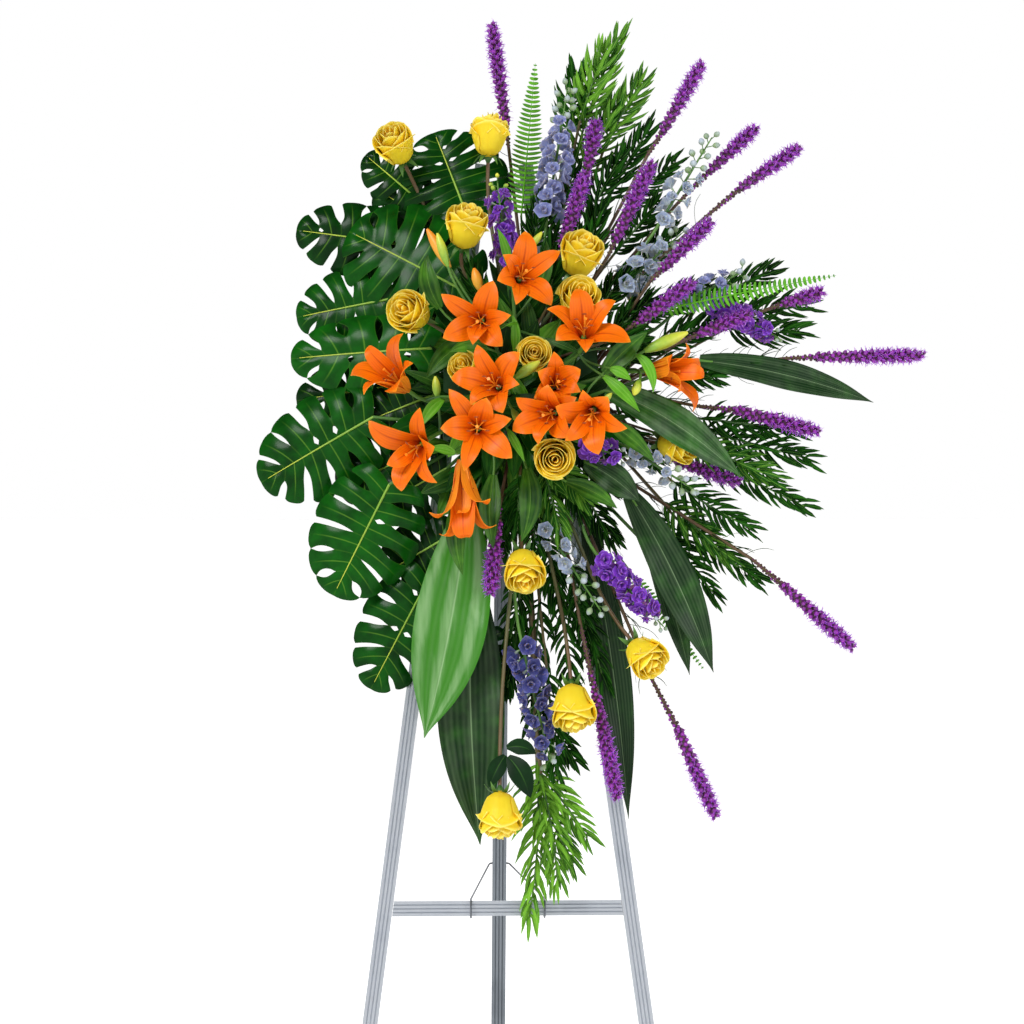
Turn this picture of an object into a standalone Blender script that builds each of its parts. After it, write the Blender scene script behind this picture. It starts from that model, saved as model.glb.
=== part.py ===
"""Standing funeral spray: an aluminium easel, a tray of floral foam, and the flowers and leaves in it.

Sizes are real ones. The stand is built in metres. The plants are laid out in millimetres: how far right
of the easel's centre line and how high above the floor a viewer sees a point, and how far it stands out
in front of the easel's leaning front.
"""

import math
import random

import bmesh
import bpy
from mathutils import Matrix, Vector

MM = 0.001
SPRAY = "standing_funeral_spray"

# The viewer's eye, which the layout's sight lines start from
EYE = Vector((-0.157, -4.497, 1.130))
# Where the middle of the whole outline lies, seen from above, from the middle of the easel
OUTLINE_MIDDLE = Vector((0.128, 0.106, 0.0))

# Easel
HINGE_HEIGHT = 1.490
LEG_TOP = 1.524
FRONT_FOOT_Y = -0.100
HINGE_Y = 0.110
REAR_FOOT_Y = 0.430
FOOT_SPREAD = 0.237
HINGE_SPREAD = 0.0375
LATH_WIDTH = 0.0225
LATH_DEPTH = 0.009
FLUTE_DEPTH = 0.0011
FLUTE_WIDTH = 0.0022
FLUTE_PITCH = 0.0056
FLUTES = 3
CROSSBAR_HEIGHT = 0.404
REAR_LEG_PAST_HINGE = 0.022
FOOT_TRIM = 0.020
GAP = 0.0003

# Hinge
BOLT_RADIUS = 0.0022
BOLT_HOLE_RADIUS = 0.0029
BOLT_HEAD_RADIUS = 0.0055
BOLT_HEAD_DEPTH = 0.004
BOLT_HEAD_AT = 0.0505
SPACER_RADIUS = 0.0065
SPACER_INNER = 0.0116
SPACER_OUTER = 0.0249

# Brace
WIRE_RADIUS = 0.0014
HOOK_RADIUS = 0.0140
HOOK_SPREAD = 0.055
HOOK_TURN = math.radians(265)
HOOK_STEPS = 8
HOOK_DIP = 0.004
BRACE_REACH = 0.3932
BRACE_HALF_WIDTH = 0.0150
# The rounded end behind the rear leg: half width beside the brace's, and how far short of its reach
BRACE_END = ((1.13, 0.016), (1.0, 0.006), (0.6, 0.0))

# Foam and tray, in the plane of the leaning easel
FOAM_WIDTH = 0.230
FOAM_HEIGHT = 0.130
FOAM_DEPTH = 0.084
FOAM_X = 0.020
FOAM_Z = 1.160
TRAY_WALL = 0.003
TRAY_LIP = 0.008

# Ties
TIE_WIDTH = 0.005
TIE_WALL = 0.0012
TIE_BESIDE_LEG = 0.0022
TIE_BEHIND_LEG = 0.0014
SLOT_WIDTH = 0.0066
SLOT_PAST_TIE = 0.0009

# Stems in the foam. Each bunch's root lies that deep under the surface, below the foam's heart
HEART_OUT = 0.032
ROOT_DEPTH = 0.024
PAST_FOAM = 0.010
HOLE_CLEARANCE = 0.0002
BORE_PAST_ROOT = 0.002

# Leaves and fronds
BLADE_DEPTH = 0.0009

# A block below the floor that the feet are cut flat on: width, depth and height
FLOOR_CUTTER = (0.8, 0.8, 0.1)

LEAN = math.atan2(HINGE_Y - FRONT_FOOT_Y, HINGE_HEIGHT)
FRONT = Vector((0.0, -math.cos(LEAN), math.sin(LEAN)))
UPWARD = Vector((0.0, math.sin(LEAN), math.cos(LEAN)))
ACROSS = Vector((1.0, 0.0, 0.0))

# Colour, roughness and metallic value of each material
FINISHES = {
    "aluminium": ((0.56, 0.59, 0.64), 0.38, 0.9),
    "bolt_steel": ((0.45, 0.46, 0.48), 0.35, 1.0),
    "spacer_nylon": ((0.75, 0.75, 0.72), 0.5, 0.0),
    "brace_wire": ((0.16, 0.17, 0.19), 0.45, 0.8),
    "tray_plastic": ((0.03, 0.12, 0.06), 0.5, 0.0),
    "foam": ((0.05, 0.20, 0.08), 0.95, 0.0),
    "tie_plastic": ((0.02, 0.02, 0.02), 0.5, 0.0),
    "rose": ((0.90, 0.62, 0.05), 0.55, 0.0),
    "stem": ((0.08, 0.22, 0.05), 0.5, 0.0),
    "lily": ((0.85, 0.17, 0.01), 0.45, 0.0),
    "liatris": ((0.22, 0.04, 0.38), 0.8, 0.0),
    "delphinium": ((0.20, 0.25, 0.52), 0.6, 0.0),
    "stock": ((0.20, 0.03, 0.40), 0.7, 0.0),
    "monstera": ((0.01, 0.09, 0.02), 0.25, 0.0),
    "aspidistra": ((0.03, 0.16, 0.02), 0.3, 0.0),
    "podocarpus": ((0.04, 0.17, 0.02), 0.5, 0.0),
    "fern": ((0.12, 0.36, 0.05), 0.6, 0.0),
}


# Places and paths


def front_y(height):
    """Y of the front faces of the leaning front legs at a height."""
    return FRONT_FOOT_Y + height * math.tan(LEAN) - LATH_DEPTH / 2 / math.cos(LEAN)


def seen(across, up, out):
    """The point in metres that is seen at across and up and stands out before the easel, all in mm."""
    ray = Vector((across * MM, 0.0, up * MM)) - EYE
    slope = math.tan(LEAN)
    reach = front_y(EYE.z) - out * MM - EYE.y
    return EYE + ray * (reach / (ray.y - slope * ray.z))


HEART = Vector((FOAM_X, front_y(FOAM_Z), FOAM_Z)) + FRONT * HEART_OUT


def foam_centre():
    """Centre of the foam block."""
    on_front = Vector((FOAM_X, front_y(FOAM_Z), FOAM_Z))
    return on_front + FRONT * (GAP * 2 + TRAY_WALL + FOAM_DEPTH / 2)


def way_out(start, way):
    """How far a straight stem runs from a start inside the foam to the foam's surface."""
    found = []
    for axis, size in ((ACROSS, FOAM_WIDTH), (UPWARD, FOAM_HEIGHT), (FRONT, FOAM_DEPTH)):
        speed = way.dot(axis)
        if abs(speed) > 1e-6:
            offset = (start - foam_centre()).dot(axis)
            found.append((size / 2 - math.copysign(1, speed) * offset) / abs(speed))
    return min(found)


def bend(start, end, start_way, end_way, count, pull=0.4):
    """Points of a smooth path that leaves start along start_way and reaches end along end_way."""
    reach = (end - start).length * pull
    near = start + start_way.normalized() * reach
    far = end - end_way.normalized() * reach
    points = []
    for step in range(count + 1):
        t = step / count
        s = 1 - t
        points.append(start * s**3 + near * 3 * s * s * t + far * 3 * s * t * t + end * t**3)
    return points


def frames(path):
    """Tangent, front side and right side of a path at each point, turning as little as it can."""
    tangents = []
    for i in range(len(path)):
        ahead = path[min(i + 1, len(path) - 1)] - path[max(i - 1, 0)]
        tangents.append(ahead.normalized())
    facing = FRONT if abs(tangents[0].dot(FRONT)) < 0.8 else UPWARD
    found = []
    for tangent in tangents:
        facing = (facing - tangent * facing.dot(tangent)).normalized()
        found.append((tangent, facing, tangent.cross(facing)))
    return found


# Growing one closed skin


def ring(bm, centre, facing, side, radii, turn=0.0):
    """Corners of one cross-section, counter-clockwise seen from the tip."""
    count = len(radii)
    corners = []
    for j, radius in enumerate(radii):
        angle = 2 * math.pi * (j + turn) / count
        spoke = facing * math.cos(angle) + side * math.sin(angle)
        corners.append(bm.verts.new(centre + spoke * radius))
    return corners


def skin(bm, rings, openings=()):
    """Faces between rings, apart from the openings, which are given as (ring, side)."""
    for i, (low, high) in enumerate(zip(rings, rings[1:])):
        count = len(low)
        for j in range(count):
            if (i, j) not in openings:
                k = (j + 1) % count
                bm.faces.new((low[j], low[k], high[k], high[j]))


def cap(bm, corners, apex):
    """Triangles from a ring to a point."""
    for corner, after in zip(corners, corners[1:] + corners[:1]):
        bm.faces.new((corner, after, apex))


def side_of(rings, i, j):
    """The four corners between ring i and the next on side j."""
    low, high = rings[i], rings[i + 1]
    k = (j + 1) % len(low)
    return [low[j], low[k], high[k], high[j]]


def middle_of(corners):
    """The middle of some corners."""
    return sum((corner.co for corner in corners), Vector()) / len(corners)


def grow_needle(bm, quad, tip):
    """A pointed leaf that narrows from a whole side of the stem to its tip."""
    cap(bm, quad, bm.verts.new(tip))


def grow_blade(bm, quad, stations, tip):
    """A petal from one side of a stem. Each station is (centre, way across, half width, half depth)."""
    low = quad
    centre = middle_of(quad)
    for place, width_way, half_width, half_depth in stations:
        way = (place - centre).normalized()
        across = (width_way - way * width_way.dot(way)).normalized()
        depth = way.cross(across)
        high = [
            bm.verts.new(place - across * half_width - depth * half_depth),
            bm.verts.new(place + across * half_width - depth * half_depth),
            bm.verts.new(place + across * half_width + depth * half_depth),
            bm.verts.new(place - across * half_width + depth * half_depth),
        ]
        skin(bm, [low, high])
        low, centre = high, place
    cap(bm, low, bm.verts.new(tip))


def grow_floret(bm, quad, reach, spread):
    """An open cup of pointed petals on one side of a stem: its heart at reach, its rim of radius spread."""
    centre = middle_of(quad)
    way = (quad[1].co - quad[0].co).cross(quad[3].co - quad[0].co).normalized()
    facing = (quad[0].co - centre).normalized()
    side = way.cross(facing)
    heart = centre + way * reach
    rim = []
    for k in range(FLORET_PETALS * 2):
        radius, lift = FLORET_TIP if k % 2 else FLORET_NOTCH
        angle = math.pi * k / FLORET_PETALS
        spoke = facing * math.cos(angle) + side * math.sin(angle)
        rim.append(bm.verts.new(heart + (spoke * radius + way * lift) * spread))
    i = j = 0
    while i < 4 or j < len(rim):
        a, b = quad[i % 4], rim[j % len(rim)]
        if j * 4 <= i * len(rim) and j < len(rim):
            bm.faces.new((a, rim[(j + 1) % len(rim)], b))
            j += 1
        else:
            bm.faces.new((a, quad[(i + 1) % 4], b))
            i += 1
    cap(bm, rim, bm.verts.new(heart - way * FLORET_DEPTH * spread))


def mesh_of(bm, name):
    """A mesh with triangular faces from a bmesh, which is freed."""
    bmesh.ops.triangulate(bm, faces=bm.faces[:])
    mesh = bpy.data.meshes.new(name)
    bm.to_mesh(mesh)
    bm.free()
    return mesh


def stem(path, radius, tip_radius, sides=4, grown=None):
    """A closed stem. grown maps (segment, side) to a function that grows something there."""
    bm = bmesh.new()
    rings = []
    last = len(path) - 1
    for i, (_, facing, side) in enumerate(frames(path)):
        thick = radius + (tip_radius - radius) * i / last
        rings.append(ring(bm, path[i], facing, side, [thick] * sides, 0.5))
    grown = grown or {}
    skin(bm, rings, set(grown))
    bm.faces.new(list(reversed(rings[0])))
    bm.faces.new(rings[-1])
    for (i, j), grow in grown.items():
        grow(bm, side_of(rings, i, j))
    return mesh_of(bm, "stem")


# Solids made with modifiers


def new_object(name, mesh):
    """An object for a mesh, in no collection yet."""
    return bpy.data.objects.new(name, mesh)


def evaluated_mesh(obj):
    """The mesh of an object in the scene with its modifiers applied."""
    bpy.context.view_layer.update()
    graph = bpy.context.evaluated_depsgraph_get()
    return bpy.data.meshes.new_from_object(obj.evaluated_get(graph))


def fused(name, meshes):
    """One mesh: the first one joined with all the others by one Boolean union."""
    if len(meshes) == 1:
        return meshes[0]
    scene = bpy.context.scene.collection
    repeats = bpy.data.collections.new(name + "_repeats")
    scene.children.link(repeats)
    base = new_object(name + "_base", meshes[0])
    scene.objects.link(base)
    for i, mesh in enumerate(meshes[1:]):
        repeats.objects.link(new_object(f"{name}_{i}", mesh))
    union = base.modifiers.new("Join", "BOOLEAN")
    union.operation = "UNION"
    union.operand_type = "COLLECTION"
    union.collection = repeats
    union.solver = "MANIFOLD"
    joined = evaluated_mesh(base)
    for obj in [base, *repeats.objects]:
        bpy.data.objects.remove(obj)
    bpy.data.collections.remove(repeats)
    return joined


def thickened(bm):
    """A closed blade from an open sheet."""
    bmesh.ops.triangulate(bm, faces=bm.faces[:])
    bmesh.ops.recalc_face_normals(bm, faces=bm.faces[:])
    sheet = new_object("blade", mesh_of(bm, "blade"))
    bpy.context.scene.collection.objects.link(sheet)
    solid = sheet.modifiers.new("Thickness", "SOLIDIFY")
    solid.thickness = BLADE_DEPTH
    solid.offset = 0
    mesh = evaluated_mesh(sheet)
    bpy.data.objects.remove(sheet)
    return mesh


def finish(obj, finish_name):
    """Gives an object its material."""
    material = bpy.data.materials.get(finish_name)
    if material is None:
        colour, roughness, metallic = FINISHES[finish_name]
        material = bpy.data.materials.new(finish_name)
        material.use_nodes = True
        shader = material.node_tree.nodes["Principled BSDF"]
        shader.inputs["Base Color"].default_value = (*colour, 1)
        shader.inputs["Roughness"].default_value = roughness
        shader.inputs["Metallic"].default_value = metallic
    obj.data.materials.clear()
    obj.data.materials.append(material)


def place(name, mesh, finish_name, smooth=True, origin=Vector()):
    """Adds a finished piece to the spray, with its origin at a point of the easel's frame."""
    obj = new_object(name, mesh)
    mesh.name = name
    mesh.transform(Matrix.Translation(-origin))
    obj.location = origin
    obj.parent = bpy.data.objects[SPRAY]
    bpy.data.collections[SPRAY].objects.link(obj)
    finish(obj, finish_name)
    if smooth:
        mesh.shade_smooth()
        mesh.set_sharp_from_angle(angle=math.radians(35))
    return obj


def cut(obj, cutters, solver="EXACT"):
    """Takes cutters out of an object."""
    for cutter in cutters:
        modifier = obj.modifiers.new("Cut_" + cutter.name, "BOOLEAN")
        modifier.operation = "DIFFERENCE"
        modifier.solver = solver
        modifier.object = cutter


def cutter_of(name, mesh):
    """A hidden cutter."""
    obj = new_object(name, mesh)
    obj.parent = bpy.data.objects[SPRAY]
    bpy.data.collections["cutters"].objects.link(obj)
    obj.hide_render = True
    obj.display_type = "WIRE"
    return obj


def round_bar(start, end, radius, sides):
    """A closed straight bar with flat ends."""
    bm = bmesh.new()
    depth = (end - start).length
    bmesh.ops.create_cone(bm, cap_ends=True, segments=sides, radius1=radius, radius2=radius, depth=depth)
    turn = (end - start).to_track_quat("Z", "Y").to_matrix().to_4x4()
    bmesh.ops.transform(bm, matrix=Matrix.Translation((start + end) / 2) @ turn, verts=bm.verts)
    mesh = bpy.data.meshes.new("bar")
    bm.to_mesh(mesh)
    bm.free()
    return mesh


def turned(name, profile, sides):
    """A piece turned about X from (along, radius) points that run down its outer side."""
    bm = bmesh.new()
    corners = [bm.verts.new((radius, 0.0, -along)) for along, radius in profile]
    for a, b in zip(corners, corners[1:] + corners[:1]):
        bm.edges.new((a, b))
    mesh = bpy.data.meshes.new(name)
    bm.to_mesh(mesh)
    bm.free()
    obj = new_object(name, mesh)
    bpy.context.scene.collection.objects.link(obj)
    screw = obj.modifiers.new("Turn", "SCREW")
    screw.steps = sides
    screw.render_steps = sides
    screw.use_merge_vertices = True
    screw.merge_threshold = 0.00001
    whole = evaluated_mesh(obj)
    bpy.data.objects.remove(obj)
    whole.transform(Matrix.Rotation(math.radians(-90), 4, "Y"))
    return whole


# Easel


def lath_outline():
    """Half outline of the reeded lath, from its left edge to its right one, as (across, out)."""
    points = [(-LATH_WIDTH / 2, LATH_DEPTH / 2)]
    for i in range(FLUTES):
        middle = (i - (FLUTES - 1) / 2) * FLUTE_PITCH
        points.append((middle - FLUTE_WIDTH / 2, LATH_DEPTH / 2))
        points.append((middle, LATH_DEPTH / 2 - FLUTE_DEPTH))
        points.append((middle + FLUTE_WIDTH / 2, LATH_DEPTH / 2))
    points.append((LATH_WIDTH / 2, LATH_DEPTH / 2))
    return points


def lath(start, end, facing):
    """A reeded lath between two points, its wide face turned to facing."""
    outline = lath_outline()
    outline += [(-x, -y) for x, y in outline]
    curve = bpy.data.curves.new("lath", "CURVE")
    curve.dimensions = "2D"
    curve.fill_mode = "BOTH"
    curve.extrude = (end - start).length / 2
    spline = curve.splines.new("POLY")
    spline.points.add(len(outline) - 1)
    for point, (x, y) in zip(spline.points, outline):
        point.co = (x, y, 0.0, 1.0)
    spline.use_cyclic_u = True
    obj = new_object("lath", curve)
    bpy.context.scene.collection.objects.link(obj)
    mesh = evaluated_mesh(obj)
    bpy.data.objects.remove(obj)
    bm = bmesh.new()
    bm.from_mesh(mesh)
    bmesh.ops.remove_doubles(bm, verts=bm.verts, dist=0.00001)
    bmesh.ops.recalc_face_normals(bm, faces=bm.faces)
    bm.to_mesh(mesh)
    bm.free()
    along = (end - start).normalized()
    out = (facing - along * facing.dot(along)).normalized()
    turn = Matrix((out.cross(along), out, along)).transposed().to_4x4()
    mesh.transform(Matrix.Translation((start + end) / 2) @ turn)
    return mesh


def leg_centre(side, height):
    """Centre of a front leg at a height. side is -1 for the left one and 1 for the right one."""
    spread = FOOT_SPREAD + (HINGE_SPREAD - FOOT_SPREAD) * height / HINGE_HEIGHT
    return Vector((side * spread, FRONT_FOOT_Y + height * math.tan(LEAN), height))


def build_easel():
    """The three legs, the crossbar, the hinge bolt and its spacers."""
    hinge = Vector((0.0, HINGE_Y, HINGE_HEIGHT))
    bm = bmesh.new()
    bmesh.ops.create_cube(bm, size=1.0)
    bmesh.ops.scale(bm, vec=FLOOR_CUTTER, verts=bm.verts)
    middle_y = (FRONT_FOOT_Y + REAR_FOOT_Y) / 2
    bmesh.ops.translate(bm, vec=(0.0, middle_y, -FLOOR_CUTTER[2] / 2), verts=bm.verts)
    floor = cutter_of("floor_cutter", mesh_of(bm, "floor_cutter"))
    past_legs = ACROSS * 2 * BOLT_HEAD_AT
    bore = round_bar(hinge - past_legs, hinge + past_legs, BOLT_HOLE_RADIUS, 12)
    bolt_hole = cutter_of("bolt_hole_cutter", bore)
    for side, name in ((-1, "easel_leg_left"), (1, "easel_leg_right")):
        leg = lath(leg_centre(side, -FOOT_TRIM), leg_centre(side, LEG_TOP), FRONT)
        cut(place(name, leg, "aluminium"), [floor, bolt_hole])
    rear_foot = Vector((0.0, REAR_FOOT_Y, 0.0))
    way = (rear_foot - hinge).normalized()
    rear = lath(rear_foot + way * FOOT_TRIM, hinge - way * REAR_LEG_PAST_HINGE, FRONT)
    cut(place("easel_leg_rear", rear, "aluminium", origin=hinge), [floor, bolt_hole])

    bar_left, bar_right = leg_centre(-1, CROSSBAR_HEIGHT), leg_centre(1, CROSSBAR_HEIGHT)
    bar = lath(bar_left, bar_right, FRONT)
    leg_slope = (FOOT_SPREAD - HINGE_SPREAD) / HINGE_HEIGHT
    half_lath = LATH_WIDTH / 2 * math.hypot(1, leg_slope * math.cos(LEAN))
    for vertex in bar.vertices:
        side = math.copysign(1, vertex.co.x)
        vertex.co.x = side * (abs(leg_centre(side, vertex.co.z).x) - half_lath - GAP * 2)
    place("easel_crossbar", bar, "aluminium")

    half = [
        (-BOLT_HEAD_AT - BOLT_HEAD_DEPTH, 0.0),
        (-BOLT_HEAD_AT - BOLT_HEAD_DEPTH, BOLT_HEAD_RADIUS * 0.75),
        (-BOLT_HEAD_AT - BOLT_HEAD_DEPTH * 0.5, BOLT_HEAD_RADIUS),
        (-BOLT_HEAD_AT, BOLT_HEAD_RADIUS),
        (-BOLT_HEAD_AT, BOLT_RADIUS),
    ]
    bolt = turned("hinge_bolt", half + [(-x, r) for x, r in reversed(half)], 8)
    place("hinge_bolt", bolt, "bolt_steel").location = hinge
    for side, name in ((-1, "hinge_spacer_left"), (1, "hinge_spacer_right")):
        near, far = sorted((side * SPACER_INNER, side * SPACER_OUTER))
        outside = [(near, SPACER_RADIUS), (far, SPACER_RADIUS)]
        inside = [(far, BOLT_HOLE_RADIUS), (near, BOLT_HOLE_RADIUS)]
        spacer = turned(name, outside + inside, 10)
        place(name, spacer, "spacer_nylon").location = hinge


def build_brace():
    """The wire: a round hook over the crossbar at each end, and a bend behind the rear leg."""
    left = []
    for step in range(HOOK_STEPS + 1):
        angle = math.radians(90) + HOOK_TURN * (1 - step / HOOK_STEPS)
        left.append((-HOOK_SPREAD, HOOK_RADIUS * math.cos(angle), HOOK_RADIUS * math.sin(angle)))
    for share, short in BRACE_END:
        left.append((-BRACE_HALF_WIDTH * share, BRACE_REACH - short, HOOK_RADIUS - HOOK_DIP))
    points = left + [(-x, y, z) for x, y, z in reversed(left)]
    curve = bpy.data.curves.new("brace_wire", "CURVE")
    curve.dimensions = "3D"
    curve.bevel_depth = WIRE_RADIUS
    curve.bevel_resolution = 1
    curve.use_fill_caps = True
    spline = curve.splines.new("POLY")
    spline.points.add(len(points) - 1)
    for point, corner in zip(spline.points, points):
        point.co = (*corner, 1.0)
    obj = new_object("brace_wire", curve)
    obj.location = (0.0, leg_centre(1, CROSSBAR_HEIGHT).y, CROSSBAR_HEIGHT)
    obj.parent = bpy.data.objects[SPRAY]
    bpy.data.collections[SPRAY].objects.link(obj)
    finish(obj, "brace_wire")


# Foam, tray and ties


def leaning_box(name, centre, width, height, depth):
    """A box in the easel's leaning plane."""
    bm = bmesh.new()
    bmesh.ops.create_cube(bm, size=1.0)
    bmesh.ops.scale(bm, vec=(width, depth, height), verts=bm.verts)
    turn = Matrix.Rotation(-LEAN, 4, "X")
    bmesh.ops.transform(bm, matrix=Matrix.Translation(centre) @ turn, verts=bm.verts)
    return mesh_of(bm, name)


def build_foam(stem_holes):
    """The foam block, with a hole for each bunch, and the tray behind it, tied to both front legs."""
    centre = foam_centre()
    block = leaning_box("foam", centre, FOAM_WIDTH, FOAM_HEIGHT, FOAM_DEPTH)
    foam = place("floral_foam", block, "foam", False)
    holes = cutter_of("stem_holes_cutter", fused("stem_holes", stem_holes))
    cut(foam, [holes], "MANIFOLD")

    width = FOAM_WIDTH + 2 * GAP
    height = FOAM_HEIGHT + 2 * GAP
    depth = TRAY_LIP + TRAY_WALL
    back = centre - FRONT * (FOAM_DEPTH / 2 + GAP)
    tray_centre = back + FRONT * (TRAY_LIP - TRAY_WALL) / 2
    outer = leaning_box("tray", tray_centre, width + 2 * TRAY_WALL, height + 2 * TRAY_WALL, depth)
    tray = place("spray_tray", outer, "tray_plastic", False)
    inner = leaning_box("tray_inside", back + FRONT * TRAY_LIP, width, height, 2 * TRAY_LIP)
    cut(tray, [cutter_of("tray_inside_cutter", inner), holes], "MANIFOLD")
    for side, name in ((-1, "tray_tie_left"), (1, "tray_tie_right")):
        build_tie(name, leg_centre(side, FOAM_Z), foam, tray)


def build_tie(name, leg, foam, tray):
    """A tie round a front leg and through slots in the tray's back, with a recess for it in the foam."""
    tie_front = LATH_DEPTH / 2 + GAP * 3 + TRAY_WALL
    tie_back = LATH_DEPTH / 2 + TIE_BEHIND_LEG
    middle = leg + FRONT * (tie_front - tie_back) / 2
    width = LATH_WIDTH + 2 * TIE_BESIDE_LEG
    depth = tie_front + tie_back
    outer = leaning_box(name, middle, width + 2 * TIE_WALL, TIE_WIDTH, depth + 2 * TIE_WALL)
    inside = leaning_box(name + "_inside", middle, width, 4 * TIE_WIDTH, depth)
    tie = place(name, outer, "tie_plastic", False)
    cut(tie, [cutter_of(name + "_inside_cutter", inside)])

    slot_width = width + 2 * TIE_WALL + 4 * GAP
    slot_depth = depth + 2 * (TIE_WALL + SLOT_PAST_TIE)
    slot = leaning_box(name + "_slot", middle, slot_width, SLOT_WIDTH, slot_depth)
    between = leaning_box(name + "_between", middle, width - 4 * GAP, 2 * SLOT_WIDTH, 2 * slot_depth)
    slots = cutter_of(name + "_slots_cutter", slot)
    cut(slots, [cutter_of(name + "_between_cutter", between)], "MANIFOLD")
    cut(tray, [slots], "MANIFOLD")
    cut(foam, [cutter_of(name + "_recess_cutter", slot.copy())], "MANIFOLD")


# Plants


class Bunch:
    """Plants that share one root in the foam and become one solid."""

    def __init__(self, name, material, toward):
        """A bunch without plants, whose root lies in the foam on the way to a place."""
        self.name = name
        self.material = material
        way = (seen(*toward) - HEART).normalized()
        self.root = HEART + way * (way_out(HEART, way) - ROOT_DEPTH)
        self.meshes = []
        self.bores = []

    def way_to(self, target):
        """The direction from the root to a point."""
        return (target - self.root).normalized()

    def leave(self, target, radius, straight=0.11, share=0.65):
        """Where a stem on its way to target may start to bend. Notes the hole that it needs in the foam."""
        way = self.way_to(target)
        outside = way_out(self.root, way) + PAST_FOAM
        # A three-sided bore has room for a stem of half its own radius
        bore_radius = 2 * (radius + HOLE_CLEARANCE)
        inner = self.root - way * BORE_PAST_ROOT
        self.bores.append(round_bar(inner, self.root + way * outside, bore_radius, 3))
        return self.root + way * max(outside, min(straight, (target - self.root).length * share))

    def add(self, mesh):
        """Adds a plant."""
        self.meshes.append(mesh)

    def build(self):
        """Places the joined plants and returns the mesh of the hole round their stems."""
        place(self.name, fused(self.name, self.meshes), self.material)
        bm = bmesh.new()
        for bore in self.bores:
            bm.from_mesh(bore)
        hull = bmesh.ops.convex_hull(bm, input=bm.verts, use_existing_faces=False)
        bmesh.ops.delete(bm, geom=hull["geom_interior"] + hull["geom_unused"], context="VERTS")
        kept = set(hull["geom"])
        bmesh.ops.delete(bm, geom=[face for face in bm.faces if face not in kept], context="FACES")
        return mesh_of(bm, self.name + "_hole")


# Rims of petals and the grooves between them: along the axis, radius, lobe height, and turn in corners
ROSE_PROFILE = (
    (0.0, 0.0055, 0.0, 0.0),
    (0.008, 0.0185, 0.0, 0.0),
    (0.030, 0.0270, 0.002, 0.0),
    (0.052, 0.0285, 0.010, 0.0),
    (0.045, 0.0215, 0.004, 0.0),
    (0.060, 0.0175, 0.008, 1.5),
    (0.053, 0.0120, 0.003, 1.5),
    (0.064, 0.0075, 0.005, 0.5),
)
ROSE_PETALS = 3
CORNERS_A_PETAL = 3
LOBE_SINK = 0.35
LOBE_SWELL = 25.0
HEART_SINK = 0.006

# Roses: name, centre (across, up, out), the way that the bloom faces (right, up, out), size beside a full
# one, and the bunch of its stem
ROSES = (
    ("rose_1", (-166, 1542, 95), (-0.35, 0.55, 0.75), 0.97, "monstera_upper"),
    ("rose_2", (-26, 1556, 76), (0.05, 1.0, 0.15), 0.95, "rose_stems_upper"),
    ("rose_3", (-61, 1420, 150), (0.15, 0.75, 0.55), 1.0, "rose_stems_upper"),
    ("rose_4", (-143, 1293, 165), (-0.45, 0.1, 0.85), 1.0, "rose_stems_upper"),
    ("rose_5", (110, 1378, 140), (0.2, 0.6, 0.65), 1.03, "rose_stems_upper"),
    ("rose_6", (107, 1312, 168), (0.1, 0.35, 0.85), 1.0, "lily_stems"),
    ("rose_7", (41, 1230, 190), (0.0, 0.05, 1.0), 0.8, "lily_stems"),
    ("rose_8", (71, 1077, 205), (0.0, -0.25, 0.95), 0.97, "lily_stems"),
    ("rose_9", (256, 1096, 97), (0.7, -0.15, 0.6), 0.95, "lily_stems"),
    ("rose_10", (26, 909, 150), (0.05, -0.75, 0.6), 1.0, "rose_stems_lower"),
    ("rose_11", (208, 778, 120), (0.45, -0.6, 0.55), 0.95, "rose_stems_lower"),
    ("rose_12", (100, 702, 110), (0.05, -0.9, 0.3), 1.05, "rose_stems_lower"),
    ("rose_13", (-10, 540, 116), (0.0, -1.0, 0.12), 1.02, "rose_stems_lower"),
    ("rose_14", (-61, 1207, 165), (-0.3, 0.3, 0.9), 0.8, "lily_stems"),
)
ROSE_MIDDLE = 0.032
ROSE_STEM = 0.0028
ROSE_STRAIGHT = 0.10
ROSE_NECK = 0.0060
SEPALS = 5
SEPAL_REACH = 0.022
SEPAL_DROP = 0.012


def petal_head(bm, base, axis, facing, size):
    """A rose: rims of petals, each rim lobed, with a groove between rims."""
    side = axis.cross(facing)
    count = ROSE_PETALS * CORNERS_A_PETAL
    rings = []
    for along, radius, lobe, phase in ROSE_PROFILE:
        corners = []
        for j in range(count):
            share = ((j + phase) % CORNERS_A_PETAL) / CORNERS_A_PETAL
            rise = lobe * (math.sin(math.pi * share) - LOBE_SINK)
            angle = 2 * math.pi * j / count
            swell = radius * (1 + LOBE_SWELL * rise * size)
            spoke = facing * math.cos(angle) + side * math.sin(angle)
            corners.append(bm.verts.new(base + (axis * (along + rise) + spoke * swell) * size))
        rings.append(corners)
    skin(bm, rings)
    bm.faces.new(list(reversed(rings[0])))
    heart = base + axis * (ROSE_PROFILE[-1][0] * size - HEART_SINK)
    cap(bm, rings[-1], bm.verts.new(heart))


def spray_way(right, up, out):
    """A direction given as right, up and out in front of the leaning easel."""
    return (ACROSS * right + UPWARD * up + FRONT * out).normalized()


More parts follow.
